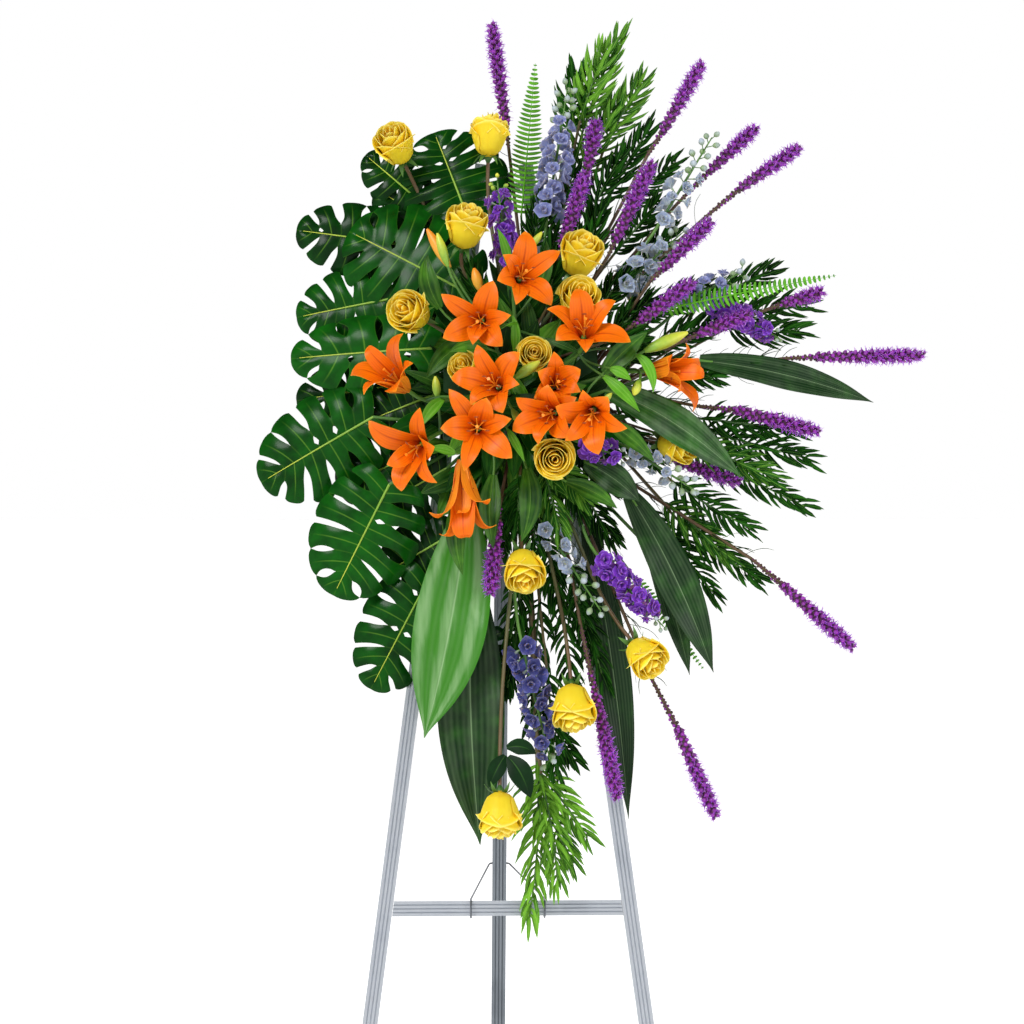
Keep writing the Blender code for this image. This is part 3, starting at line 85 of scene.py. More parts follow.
@dataclass(frozen=True)
class Stand:
    """Sizes of the leaning stand and of the foam on it, which the plants are laid out by."""

    eye: Place = (-0.157, -4.497, 1.130)
    front_foot_y: float = -0.100
    hinge_y: float = 0.110
    hinge_height: float = 1.490
    lath_depth: float = 0.009
    foam_size: Place = (0.230, 0.130, 0.084)
    foam_x: float = 0.020
    foam_z: float = 1.160
    foam_gap: float = 0.0036
    heart_out: float = 0.032
    root_depth: float = 0.024
    past_foam: float = 0.010

    @property
    def lean(self) -> float:
        """Angle that the front legs lean back by."""
        return math.atan2(self.hinge_y - self.front_foot_y, self.hinge_height)

    @property
    def front(self) -> Vector:
        """The way that the leaning front faces."""
        return Vector((0.0, -math.cos(self.lean), math.sin(self.lean)))

    @property
    def upward(self) -> Vector:
        """The way up the leaning front."""
        return Vector((0.0, math.sin(self.lean), math.cos(self.lean)))

    @property
    def foam_front(self) -> Vector:
        """The point of the legs' front faces that the foam's middle lies before."""
        return Vector((self.foam_x, self.front_y(self.foam_z), self.foam_z))

    @property
    def heart(self) -> Vector:
        """The point in the foam that the bunches' roots are set out from."""
        return self.foam_front + self.front * self.heart_out

    @property
    def foam_centre(self) -> Vector:
        """Centre of the foam block."""
        return self.foam_front + self.front * (self.foam_gap + self.foam_size[2] / 2)

    def front_y(self, height: float) -> float:
        """Y of the front faces of the front legs at a height."""
        return self.front_foot_y + height * math.tan(self.lean) - self.lath_depth / 2 / math.cos(self.lean)

    def seen(self, place: Place) -> Vector:
        """The point that a viewer sees at a place of the layout.

        Args:
            place: Millimetres right of the centre line, above the floor, and in front of the leaning stand.

        Returns:
            The point in the easel's own frame.
        """
        across, up, out = place
        eye = Vector(self.eye)
        ray = Vector((across * MM, 0.0, up * MM)) - eye
        reach = self.front_y(eye.z) - out * MM - eye.y
        return eye + ray * (reach / (ray.y - math.tan(self.lean) * ray.z))

    def way_out(self, start: Vector, way: Vector) -> float:
        """How far a straight stem runs from a point in the foam to the foam's surface.

        Args:
            start: A point inside the foam.
            way: The stem's direction, of length 1.

        Returns:
            The length inside the foam.
        """
        found = []
        for axis, size in zip((X_WAY, self.upward, self.front), self.foam_size):
            speed = way.dot(axis)
            if abs(speed) > 1e-6:
                offset = (start - self.foam_centre).dot(axis)
                found.append((size / 2 - math.copysign(1, speed) * offset) / abs(speed))
        return min(found)

    def spray_way(self, right: float, up: float, out: float) -> Vector:
        """A direction given as right, up and out in front of the leaning stand."""
        return (X_WAY * right + self.upward * up + self.front * out).normalized()


STAND = Stand()


def bend(
    start: Vector, end: Vector, start_way: Vector, end_way: Vector, count: int, pull: float = 0.4
) -> list[Vector]:
    """Points of a smooth path between two points.

    Args:
        start: First point.
        end: Last point.
        start_way: The way the path leaves its start.
        end_way: The way the path goes at its end.
        count: Number of steps.
        pull: How far the ways reach into the path, beside its length.

    Returns:
        count + 1 points.
    """
    reach = (end - start).length * pull
    near = start + start_way.normalized() * reach
    far = end - end_way.normalized() * reach
    points = []
    for step in range(count + 1):
        t = step / count
        s = 1 - t
        points.append(start * s**3 + near * 3 * s * s * t + far * 3 * s * t * t + end * t**3)
    return points


def frames(path: Sequence[Vector]) -> list[tuple[Vector, Vector, Vector]]:
    """The directions of a path at each of its points, turned as little as possible from one to the next.

    Args:
        path: The path's points.

    Returns:
        The tangent, the facing side and the right side at each point.
    """
    found = []
    facing = None
    for i in range(len(path)):
        tangent = (path[min(i + 1, len(path) - 1)] - path[max(i - 1, 0)]).normalized()
        if facing is None:
            facing = STAND.front if abs(tangent.dot(STAND.front)) < 0.8 else STAND.upward
        facing = (facing - tangent * facing.dot(tangent)).normalized()
        found.append((tangent, facing, tangent.cross(facing)))
    return found


@dataclass(frozen=True)
class Ring:
    """The ways round a straight stem or a bloom: its axis, its facing side and its right side."""

    axis: Vector
    facing: Vector
    side: Vector

    @classmethod
    def of(cls, way: Vector) -> Ring:
        """The ring round a way of any length."""
        return cls(*frames([Vector(), way])[0])

    def spoke(self, angle: float, depth: float = 1.0) -> Vector:
        """The way outwards at an angle, with its part towards the viewer made smaller by the depth."""
        return self.facing * (math.cos(angle) * depth) + self.side * math.sin(angle)


def turned_to(origin: Vector, way: Vector, spin: float = 0.0, scale: float = 1.0) -> Matrix:
    """A placing whose Z axis points along a way, with a spin about it and a size beside the form's own."""
    turn = way.to_track_quat("Z", "Y").to_matrix().to_4x4()
    return Matrix.Translation(origin) @ turn @ Matrix.Rotation(spin, 4, "Z") @ Matrix.Scale(scale, 4)


# Meshes that grow


@dataclass(frozen=True)
class BladeForm:
    """Form of a leaf or petal, beside its length and half width.

    foot and widest give the width at the foot and where the blade is widest. fullness and point shape the
    tip: a high fullness keeps it wide for longer, and a point under 1 rounds it. cup and fold lift its
    edges, and wave ripples them.
    """

    widest: float = 0.45
    foot: float = 0.30
    fullness: float = 2.0
    point: float = 1.0
    cup: float = 0.12
    fold: float = 0.0
    wave: float = 0.0
    waves: float = 3.0
    rows: int = 10
    columns: int = 4
    thickness: float = 0.0005
    least_width: float = 0.025

    def width(self, t: np.ndarray) -> np.ndarray:
        """Half width of the blade, beside its widest one.

        Args:
            t: Shares of its length.

        Returns:
            The half width at each share.
        """
        rise = np.clip(t / self.widest, 0.0, 1.0)
        fall = np.clip((t - self.widest) / (1.0 - self.widest), 0.0, 1.0)
        body = self.foot + (1.0 - self.foot) * np.sin(rise * math.pi / 2)
        return np.maximum(body * (1.0 - fall**self.fullness) ** self.point, self.least_width)


def grid_quads(rows: int, columns: int) -> np.ndarray:
    """Corner numbers of the quads of a grid with that many rows and columns of corners."""
    i = np.arange(rows * columns).reshape(rows, columns)
    return np.stack([i[:-1, :-1], i[:-1, 1:], i[1:, 1:], i[1:, :-1]], axis=-1).reshape(-1, 4)


def marked(*parts: np.ndarray | float) -> np.ndarray:
    """The marks of a sheet's corners, from arrays or numbers that are spread over the whole sheet."""
    return np.stack(np.broadcast_arrays(*parts), axis=-1).reshape(-1, len(parts))


def unit(vectors: np.ndarray) -> np.ndarray:
    """The same vectors with length 1."""
    return vectors / np.maximum(np.linalg.norm(vectors, axis=-1, keepdims=True), 1e-12)


class Growth:
    """A mesh that grows part by part. Each corner carries four marks that the finishes read.

    The marks are: how far along the leaf it lies, how far across, a shade of its own, and whether it is on
    the front.
    """

    def __init__(self) -> None:
        """Starts empty."""
        self.points: list[np.ndarray] = []
        self.marks: list[np.ndarray] = []
        self.blocks: list[tuple[np.ndarray, str]] = []
        self.count = 0

    def add(
        self, points: np.ndarray, marks: np.ndarray, blocks: Sequence[tuple[np.ndarray, str]]
    ) -> None:
        """Adds corners and faces.

        Args:
            points: The corners.
            marks: Their marks.
            blocks: Faces that share a number of corners, with the name of their finish.
        """
        self.points.append(points)
        self.marks.append(marks)
        self.blocks += [(faces + self.count, finish) for faces, finish in blocks]
        self.count += len(points)

    def stamp(self, form: Growth, placing: Matrix, shade: float | None = None) -> None:
        """Adds a copy of another growth.

        Args:
            form: What is copied.
            placing: Where the copy goes.
            shade: The copy's own shade, or None to keep the form's.
        """
        matrix = np.array(placing)
        points = np.concatenate(form.points) @ matrix[:3, :3].T + matrix[:3, 3]
        marks = np.concatenate(form.marks).copy()
        if shade is not None:
            marks[:, 2] = shade
        self.add(points, marks, form.blocks)

    def skin(
        self, points: np.ndarray, marks: np.ndarray, quads: np.ndarray, thickness: float, finish: str
    ) -> None:
        """Adds a thin closed blade round an open sheet.

        Args:
            points: The sheet's corners.
            marks: How far along, how far across and the shade of each corner.
            quads: The sheet's faces.
            thickness: The blade's thickness.
            finish: Name of its finish.
        """
        a, b, c, d = (points[quads[:, k]] for k in range(4))
        face_ways = np.cross(c - a, d - b)
        ways = np.zeros_like(points)
        for k in range(4):
            np.add.at(ways, quads[:, k], face_ways)
        half = unit(ways) * thickness / 2
        count = len(points)
        edges = np.concatenate([quads[:, [k, (k + 1) % 4]] for k in range(4)])
        ahead = edges[:, 0] * count + edges[:, 1]
        back = edges[:, 1] * count + edges[:, 0]
        rim = edges[~np.isin(ahead, back)]
        walls = np.stack([rim[:, 1], rim[:, 0], rim[:, 0] + count, rim[:, 1] + count], axis=1)
        sides = np.repeat([[1.0], [0.0]], count, axis=0)
        self.add(
            np.concatenate([points + half, points - half]),
            np.hstack([np.concatenate([marks, marks]), sides]),
            [(quads, finish), (quads[:, ::-1] + count, finish), (walls, finish)],
        )

    def sheet(
        self, points: np.ndarray, marks: tuple[np.ndarray | float, ...], thickness: float, finish: str,
        turned: bool = False,
    ) -> None:
        """Adds a thin closed blade round a grid of points. Its marks are arrays or numbers over the grid."""
        quads = grid_quads(*points.shape[:2])[:, :: -1 if turned else 1]
        self.skin(points.reshape(-1, 3), marked(*marks), quads, thickness, finish)

    def blade(
        self, path: Sequence[Vector], side: Vector, half_width: float, form: BladeForm, finish: str,
        shade: float = 0.5, phase: float = 0.0,
    ) -> None:
        """Adds a leaf or petal along a path.

        Args:
            path: Points from foot to tip, one for each row of corners.
            side: The way across it. Its front faces side x the way it grows.
            half_width: Half of its greatest width.
            form: Its form.
            finish: Name of its finish.
            shade: Its own shade.
            phase: Where its waves start.
        """
        spots = np.array([tuple(p) for p in path])
        t = np.linspace(0.0, 1.0, len(spots))[:, None]
        x = np.linspace(-1.0, 1.0, form.columns + 1)[None, :]
        tangent = unit(np.gradient(spots, axis=0))
        across = unit(np.array(side) - tangent * (tangent @ np.array(side))[:, None])
        up = np.cross(across, tangent)
        wide = half_width * form.width(t)
        turn = FULL_TURN * form.waves * t + phase + math.pi * (x < 0)
        rise = (form.cup * x * x + form.fold * np.abs(x) + form.wave * np.sin(turn) * x**2) * wide
        points = spots[:, None] + across[:, None] * (x * wide)[..., None] + up[:, None] * rise[..., None]
        self.sheet(points, (t, x, shade), form.thickness, finish)

    def tube(
        self, path: Sequence[Vector], radii: Sequence[float], sides: int, finish: str, shade: float = 0.5
    ) -> None:
        """Adds a closed round stem, bud or wire along a path.

        Args:
            path: Points of its centre line.
            radii: Its radius at each point.
            sides: Number of its sides.
            finish: Name of its finish.
            shade: Its own shade.
        """
        rows = []
        turns = np.arange(sides) * FULL_TURN / sides
        for point, radius, (_, facing, right) in zip(path, radii, frames(path)):
            ring = np.outer(np.cos(turns), np.array(facing)) + np.outer(np.sin(turns), np.array(right))
            rows.append(np.array(point) + ring * radius)
        count = len(rows)
        i = np.arange(count * sides).reshape(count, sides)
        j = np.roll(i, -1, axis=1)
        quads = np.stack([i[:-1], j[:-1], j[1:], i[1:]], axis=-1).reshape(-1, 4)
        along = np.linspace(0.0, 1.0, count)[:, None]
        across = np.abs(np.linspace(-1.0, 1.0, sides))[None, :]
        ends = [(i[:1, ::-1], finish), (i[-1:], finish)]
        self.add(np.concatenate(rows), marked(along, across, shade, 1.0), [(quads, finish), *ends])

    def bead(
        self, foot: Vector, tip: Vector, radius: float, grid: tuple[int, int], finish: str,
        shade: float = 0.5,
    ) -> None:
        """Adds a plump bud.

        Args:
            foot: Its foot.
            tip: Its tip.
            radius: Its greatest radius.
            grid: Numbers of its sides and of its rows.
            finish: Name of its finish.
            shade: Its own shade.
        """
        sides, rows = grid
        shares = [k / rows for k in range(rows + 1)]
        radii = [radius * max(math.sin(math.pi * (0.08 + 0.87 * t)) ** 0.8, 0.06) for t in shares]
        self.tube([foot + (tip - foot) * t for t in shares], radii, sides, finish, shade)

    def build(self, name: str, palette: Palette) -> Object:
        """Makes the grown mesh an object of the scene.

        Args:
            name: The object's name.
            palette: The material of each finish.

        Returns:
            The object, in the row frame.
        """
        points = np.concatenate(self.points) - np.array(OUTLINE_MIDDLE)
        marks = np.concatenate(self.marks).astype(np.float32)
        finishes = sorted({finish for _, finish in self.blocks})
        loops = np.concatenate([faces.ravel() for faces, _ in self.blocks]).astype(np.int32)
        sizes = np.concatenate([np.full(len(faces), faces.shape[1]) for faces, _ in self.blocks])
        which = np.concatenate([np.full(len(faces), finishes.index(one)) for faces, one in self.blocks])
        mesh = bpy.data.meshes.new(name)
        mesh.vertices.add(len(points))
        mesh.vertices.foreach_set("co", points.astype(np.float32).ravel())
        mesh.loops.add(len(loops))
        mesh.loops.foreach_set("vertex_index", loops)
        mesh.polygons.add(len(sizes))
        mesh.polygons.foreach_set("loop_start", (np.cumsum(sizes) - sizes).astype(np.int32))
        mesh.polygons.foreach_set("material_index", which.astype(np.int32))
        for finish in finishes:
            mesh.materials.append(palette[finish])
        grown = mesh.attributes.new("growth", "FLOAT_VECTOR", "POINT")
        grown.data.foreach_set("vector", marks[:, :3].ravel())
        front = mesh.attributes.new("front", "FLOAT", "POINT")
        front.data.foreach_set("value", np.ascontiguousarray(marks[:, 3]))
        mesh.update(calc_edges=True)
        mesh.validate()
        mesh.shade_smooth()
        mesh.set_sharp_from_angle(angle=SHARP_EDGE)
        return in_scene(name, mesh)


def in_scene(name: str, data: bpy.types.ID) -> Object:
    """Puts a mesh, a lamp or the camera in the scene.

    Args:
        name: The object's name.
        data: What it holds.

    Returns:
        The object.
    """
    obj = bpy.data.objects.new(name, data)
    bpy.context.scene.collection.objects.link(obj)
    return obj


# Shader maths


def linear(colour: Colour) -> tuple[float, float, float, float]:
    """The shader's linear form of a screen colour, whose numbers go from 0 to 255."""
    shares = [c / 255 for c in colour]
    return (*[s / 12.92 if s <= 0.04045 else ((s + 0.055) / 1.055) ** 2.4 for s in shares], 1.0)


class Flow:
    """A number that changes over a surface: a socket that arithmetic works on."""

    def __init__(self, board: Board, socket: Socket) -> None:
        """Wraps a socket of a board."""
        self.board = board
        self.socket = socket

    def _math(self, operation: str, *terms: Flow | float) -> Flow:
        """A Math node on some terms."""
        node = self.board.node("ShaderNodeMath", {"operation": operation}, dict(enumerate(terms)))
        return Flow(self.board, node.outputs[0])

    def __add__(self, other: Flow | float) -> Flow:
        """Sum."""
        return self._math("ADD", self, other)

    __radd__ = __add__

    def __sub__(self, other: Flow | float) -> Flow:
        """Difference."""
        return self._math("SUBTRACT", self, other)

    def __rsub__(self, other: float) -> Flow:
        """Difference from a number."""
        return self._math("SUBTRACT", other, self)

    def __mul__(self, other: Flow | float) -> Flow:
        """Product."""
        return self._math("MULTIPLY", self, other)

    __rmul__ = __mul__

    def __abs__(self) -> Flow:
        """Size without sign."""
        return self._math("ABSOLUTE", self)

    def sine(self) -> Flow:
        """Sine."""
        return self._math("SINE", self)

    def step(self, low: float, high: float) -> Flow:
        """A soft step from 0 to 1.

        Args:
            low: Where it is 0.
            high: Where it is 1, which may be less than low.

        Returns:
            The step.
        """
        ends = (low, high) if low < high else (high, low)
        values = {0: self, 1: ends[0], 2: ends[1], 3: 0.0, 4: 1.0}
        node = self.board.node("ShaderNodeMapRange", {"interpolation_type": "SMOOTHSTEP"}, values)
        rise = Flow(self.board, node.outputs[0])
        return rise if low < high else 1 - rise


class Board:
    """The nodes of one material, or of the sky."""

    def __init__(self, owner: Material | bpy.types.World, shader: str) -> None:
        """Starts with the owner's plain shader.

        Args:
            owner: The material or the sky.
            shader: The name of its shader's node.
        """
        owner.use_nodes = True
        self.owner = owner
        self.tree = owner.node_tree
        self.shader = self.tree.nodes[shader]

    @classmethod
    def of(cls, name: str) -> Board:
        """The board of a new material."""
        return cls(bpy.data.materials.new(name), "Principled BSDF")

    def node(
        self, kind: str, settings: dict[str, object], values: dict[int | str, object]
    ) -> bpy.types.Node:
        """Adds a node.

        Args:
            kind: The node's type.
            settings: Its own settings, which are set first.
            values: A number, colour or flow for each of its sockets that needs one.

        Returns:
            The node.
        """
        node = self.tree.nodes.new(kind)
        for name, value in settings.items():
            setattr(node, name, value)
        for key, value in values.items():
            self.feed(node.inputs[key], value)
        return node

    def feed(self, socket: Socket, value: object) -> None:
        """Gives a socket its value.

        Args:
            socket: The socket.
            value: A flow or socket to link, or a number or colour to set.
        """
        if isinstance(value, Flow):
            value = value.socket
        if isinstance(value, Socket):
            self.tree.links.new(value, socket)
        else:
            socket.default_value = value

    def growth(self) -> tuple[Flow, Flow, Flow]:
        """The marks that a growth leaves on its corners.

        Returns:
            How far along and how far across a leaf a point lies, and the leaf's own shade.
        """
        found = self.node("ShaderNodeAttribute", {"attribute_name": "growth"}, {})
        parts = self.node("ShaderNodeSeparateXYZ", {}, {0: found.outputs["Vector"]})
        return tuple(Flow(self, parts.outputs[k]) for k in range(3))

    def front(self) -> Flow:
        """1 on the front of a leaf or petal and 0 on its back."""
        found = self.node("ShaderNodeAttribute", {"attribute_name": "front"}, {})
        return Flow(self, found.outputs["Fac"])

    def noise(self, scale: float, detail: float = 3.0, stretch: Place = (1.0, 1.0, 1.0)) -> Flow:
        """Cloudy noise round 0.5.

        Args:
            scale: Waves in a metre.
            detail: How much finer noise it holds.
            stretch: How its waves are squeezed along each axis.

        Returns:
            The noise.
        """
        place = self.node("ShaderNodeTexCoord", {}, {}).outputs["Object"]
        spread = self.node("ShaderNodeVectorMath", {"operation": "MULTIPLY"}, {0: place, 1: stretch})
        values = {"Vector": spread.outputs[0], "Scale": scale, "Detail": detail}
        return Flow(self, self.node("ShaderNodeTexNoise", {}, values).outputs["Fac"])

    def mix(self, share: Flow | float, first: object, second: object) -> Socket:
        """A colour between two colours.

        Args:
            share: How much of the second there is.
            first: A screen colour or a socket.
            second: A screen colour or a socket.

        Returns:
            The colour's socket.
        """
        first, second = (linear(end) if isinstance(end, tuple) else end for end in (first, second))
        values = {0: share, 6: first, 7: second}
        return self.node("ShaderNodeMix", {"data_type": "RGBA"}, values).outputs[2]

    def bump(self, height: Flow, strength: float, distance: float) -> Socket:
        """A normal that follows a height, given in shares of a distance in metres."""
        values = {"Strength": strength, "Distance": distance, "Height": height}
        return self.node("ShaderNodeBump", {}, values).outputs[0]

    def shade(self, **values: object) -> Material | bpy.types.World:
        """Feeds the shader.

        Args:
            values: What each socket gets. Its name has _ for each space.

        Returns:
            The material, or the world.
        """
        for name, value in values.items():
            self.feed(self.shader.inputs[name.replace("_", " ")], value)
        return self.owner


# Finishes


class Venation(Enum):
    """How the veins of a leaf run."""

    FEATHER = "side veins from a raised rib"
    PARALLEL = "fine veins along the blade"
    SINGLE = "one rib"


@dataclass(frozen=True)
class LeafFinish:
    """A green blade: how its veins run, darker and lighter leaves, its ribs and underside, its gloss, and on
    parallel-veined blades a painted satin highlight in streaks of the rib colour.
    """

    venation: Venation
    name: str
    dark: Colour
    light: Colour
    rib: Colour
    under: Colour
    roughness: float
    coat: float
    gloss: float
    vein_count: float = 34.0

    def material(self) -> Material:
        """Makes the finish.

        Returns:
            The material.
        """
        board = Board.of(self.name)
        along, across, shade = board.growth()
        from_rib = abs(across)
        cloud = board.noise(38.0, 2.0)
        colour = board.mix((shade + (cloud - 0.5) * 0.9).step(0.0, 1.0), self.dark, self.light)
        colour = board.mix((1 - board.front()) * 0.75, colour, self.under)
        if self.venation is Venation.FEATHER:
            rib = from_rib.step(0.09, 0.01) * along.step(1.0, 0.30) * 0.40
            rim = from_rib.step(0.90, 1.0) * 0.10
            normal = board.bump(from_rib.step(0.0, 0.22) - board.noise(420.0, 2.0) * 0.05, 0.35, 0.0012)
            rough = self.roughness + (cloud - 0.5) * 0.25
        elif self.venation is Venation.PARALLEL:
            veins = (across * self.vein_count).sine() * 0.5 + 0.5
            long_noise = board.noise(34.0, 3.0, (3.0, 3.0, 0.25))
            # Painted satin highlight: pale streaks of the rib colour, stronger on lighter leaves
            sheen_streak = (across * 9.0 + shade * 7.0).sine() * 0.3 + long_noise - 0.1
            rib = from_rib.step(0.04, 0.0) * 0.35 + veins * 0.05
            # Here rim holds the painted satin highlight streaks, not a pale edge
            rim = sheen_streak.step(0.2, 0.9) * shade * 0.45
            normal = board.bump(veins + from_rib.step(0.0, 0.06) * 2.0, 0.45, 0.0007)
            rough = self.roughness + (sheen_streak - 0.4) * 0.16
        else:
            rib = from_rib.step(0.30, 0.0) * 0.5
            rim = along.step(0.75, 1.0) * 0.2
            normal = board.bump(from_rib.step(0.0, 0.4), 0.4, 0.0006)
            rough = self.roughness + (cloud - 0.5) * 0.2
        colour = board.mix(rib + rim, colour, self.rib)
        board.shade(Coat_Weight=self.coat, Coat_Roughness=0.22, Specular_IOR_Level=self.gloss)
        return board.shade(Base_Color=colour, Roughness=rough, Normal=normal)


@dataclass(frozen=True)
class PetalFinish:
    """A petal: its colours from the heart to the rim, its back, how its veins and layers show, and a painted
    shade along the midrib groove.
    """

    name: str
    heart: Colour
    body: Colour
    rim: Colour
    back: Colour
    vein: Colour
    vein_and_groove_share: float
    rim_from: float
    heart_to: float
    roughness: float
    sheen: float
    layered: float = 0.0

    def material(self) -> Material:
        """Makes the finish.

        Returns:
            The material.
        """
        board = Board.of(self.name)
        along, across, shade = board.growth()
        from_rib = abs(across)
        cloud = board.noise(60.0, 3.0)
        colour = board.mix(along.step(0.0, self.heart_to), self.heart, self.body)
        if self.layered:
            colour = board.mix(shade.step(0.35, 1.0) * self.layered, colour, self.heart)
        colour = board.mix((1 - board.front()) * 0.65, colour, self.back)
        edge = along.step(self.rim_from, 1.0) * 0.75 + from_rib.step(0.78, 1.0) * 0.25
        colour = board.mix((edge + (cloud - 0.5) * 0.3).step(0.0, 1.0), colour, self.rim)
        veins = (across * 26.0 + (cloud - 0.5) * 5.0).sine() * 0.5 + 0.5
        # Midrib darkened towards the vein colour: partly real vein colour, partly painted shade of the
        # midrib groove, strongest on the lilies
        rib = from_rib.step(0.14, 0.0) * along.step(1.0, 0.45)
        colour = board.mix((veins * 0.25 + rib) * self.vein_and_groove_share, colour, self.vein)
        normal = board.bump(veins * 0.5 + board.noise(200.0, 2.0) * 0.5, 0.15, 0.0006)
        board.shade(Sheen_Weight=self.sheen, Sheen_Roughness=0.5, Specular_IOR_Level=0.18)
        board.shade(Subsurface_Weight=0.3, Subsurface_Radius=(0.02, 0.012, 0.004), Subsurface_Scale=0.5)
        return board.shade(Base_Color=colour, Roughness=self.roughness + (cloud - 0.5) * 0.2, Normal=normal)


@dataclass(frozen=True)
class StemFinish:
    """A stem or bud: its colours from foot to tip, and the specks on it."""

    name: str
    foot: Colour
    tip: Colour
    speck: Colour
    speck_share: float
    roughness: float

    def material(self) -> Material:
        """Makes the finish.

        Returns:
            The material.
        """
        board = Board.of(self.name)
        along, _, shade = board.growth()
        grain = board.noise(160.0, 3.0)
        blend = (along * 0.8 + (shade - 0.5) * 0.5 + (grain - 0.5) * 0.4).step(0.0, 1.0)
        colour = board.mix(blend, self.foot, self.tip)
        colour = board.mix(grain.step(0.52, 0.72) * self.speck_share, colour, self.speck)
        normal = board.bump(board.noise(380.0, 2.0), 0.3, 0.0006)
        return board.shade(Base_Color=colour, Roughness=self.roughness + (grain - 0.5) * 0.3, Normal=normal)


@dataclass(frozen=True)
class MetalFinish:
    """A metal surface: its colour, where it is worn, brushed lines along its length, and dull patches."""

    name: str
    colour: Colour
    worn: Colour
    roughness: float
    lines: Place = (1.0, 1.0, 0.04)
    metallic: float = 0.9

    def material(self) -> Material:
        """Makes the finish.

        Returns:
            The material.
        """
        board = Board.of(self.name)
        lines = board.noise(900.0, 2.0, self.lines)
        patch = board.noise(14.0, 4.0)
        scratch = board.noise(240.0, 5.0, (1.0, 1.0, 0.25)).step(0.60, 0.72)
        colour = board.mix(patch.step(0.45, 0.75) * 0.5 + scratch * 0.35, self.colour, self.worn)
        rough = self.roughness + (lines - 0.5) * 0.18 + patch.step(0.4, 0.7) * 0.10
        board.shade(Normal=board.bump(lines + scratch * 0.5, 0.18, 0.0004))
        return board.shade(Base_Color=colour, Metallic=self.metallic - scratch * 0.2, Roughness=rough)


@dataclass(frozen=True)
class MouldedFinish:
    """Moulded plastic or wet foam: colour, grain and how rough it is."""

    name: str
    colour: Colour
    pale: Colour
    roughness: float
    grain: float = 600.0
    depth: float = 0.0003

    def material(self) -> Material:
        """Makes the finish.

        Returns:
            The material.
        """
        board = Board.of(self.name)
        grain = board.noise(self.grain, 4.0)
        patch = board.noise(22.0, 3.0)
        share = patch.step(0.3, 0.8) * 0.5 + grain.step(0.5, 0.8) * 0.3
        colour = board.mix(share, self.colour, self.pale)
        normal = board.bump(grain, 0.5, self.depth)
        return board.shade(Base_Color=colour, Roughness=self.roughness + (grain - 0.5) * 0.2, Normal=normal)


@dataclass(frozen=True)
class FloorFinish:
    """The pale floor."""

    name: str = "studio_floor"
    colour: Colour = (252, 252, 252)
    cloud: Colour = (240, 240, 240)
    glow: float = 0.38

    def material(self) -> Material:
        """Makes the finish.

        Returns:
            The material.
        """
        board = Board.of(self.name)
        colour = board.mix(board.noise(0.8, 2.0) * 0.05, self.colour, self.cloud)
        board.shade(Emission_Color=colour, Emission_Strength=self.glow)
        return board.shade(Base_Color=colour, Roughness=0.95)


# Name, dark, light, rib and underside colours (the rib colour is also the painted satin highlight of the
# # parallel-veined blades), roughness, coat, gloss, and for one the number of veins
LEAVES = {
    Venation.FEATHER: (
        ("monstera_green", (2, 34, 4), (14, 88, 10), (104, 152, 46), (30, 84, 30), 0.38, 0.14, 0.03),
        ("rose_leaf_green", (3, 30, 8), (18, 70, 16), (66, 112, 40), (50, 92, 42), 0.5, 0.0, 0.12),
    ),
    Venation.PARALLEL: (
        ("aspidistra_green", (2, 34, 5), (50, 112, 26), (148, 180, 132), (34, 84, 30), 0.36, 0.14, 0.12),
        ("lily_leaf_green", (8, 52, 8), (84, 150, 28), (130, 180, 70), (50, 104, 40), 0.42, 0.05, 0.15, 16),
        ("collar_green", (2, 26, 5), (24, 84, 16), (84, 134, 44), (26, 64, 26), 0.42, 0.08, 0.03),
    ),
    Venation.SINGLE: (
        ("needle_green", (2, 22, 4), (26, 78, 14), (70, 122, 40), (16, 56, 16), 0.5, 0.0, 0.04),
        ("needle_light", (22, 76, 12), (104, 162, 42), (140, 186, 76), (60, 116, 40), 0.5, 0.0, 0.1),
        ("fern_green", (36, 100, 14), (86, 156, 34), (130, 186, 60), (60, 122, 36), 0.55, 0.0, 0.1),
    ),
}

# Name, heart, body, rim and back colours, the colour of the veins and of the midrib's painted groove shade,
# # then how much these show, where the rim starts, how far the heart reaches, roughness, sheen, and for one
# how
# # much the inner petals take the heart's colour
PETALS = (
    ("rose_yellow", (255, 190, 4), (244, 204, 26), (252, 232, 112), (240, 204, 44), (236, 184, 20),
     0.12, 0.88, 0.3, 0.5, 0.0, 0.75),
    ("lily_orange", (170, 50, 0), (232, 100, 2), (242, 130, 18), (240, 146, 34), (176, 50, 0),
     0.75, 0.84, 0.42, 0.42, 0.0),
    ("delphinium_blue", (190, 198, 214), (122, 128, 176), (160, 166, 200), (124, 130, 172),
     (84, 90, 150), 0.3, 0.75, 0.3, 0.6, 0.15),
    ("delphinium_pale", (222, 230, 206), (144, 156, 178), (180, 190, 202), (150, 162, 176),
     (112, 124, 158), 0.3, 0.75, 0.5, 0.6, 0.15),
    ("delphinium_indigo", (96, 98, 168), (56, 60, 124), (96, 102, 168), (72, 76, 142), (36, 36, 90),
     0.3, 0.75, 0.3, 0.6, 0.15),
    ("stock_violet", (70, 20, 120), (104, 36, 168), (150, 88, 212), (112, 50, 176), (66, 16, 116),
     0.4, 0.7, 0.4, 0.6, 0.15),
    ("liatris_violet", (84, 14, 122), (128, 34, 180), (164, 76, 216), (116, 32, 168), (92, 18, 136),
     0.2, 0.5, 0.5, 0.7, 0.1),
)

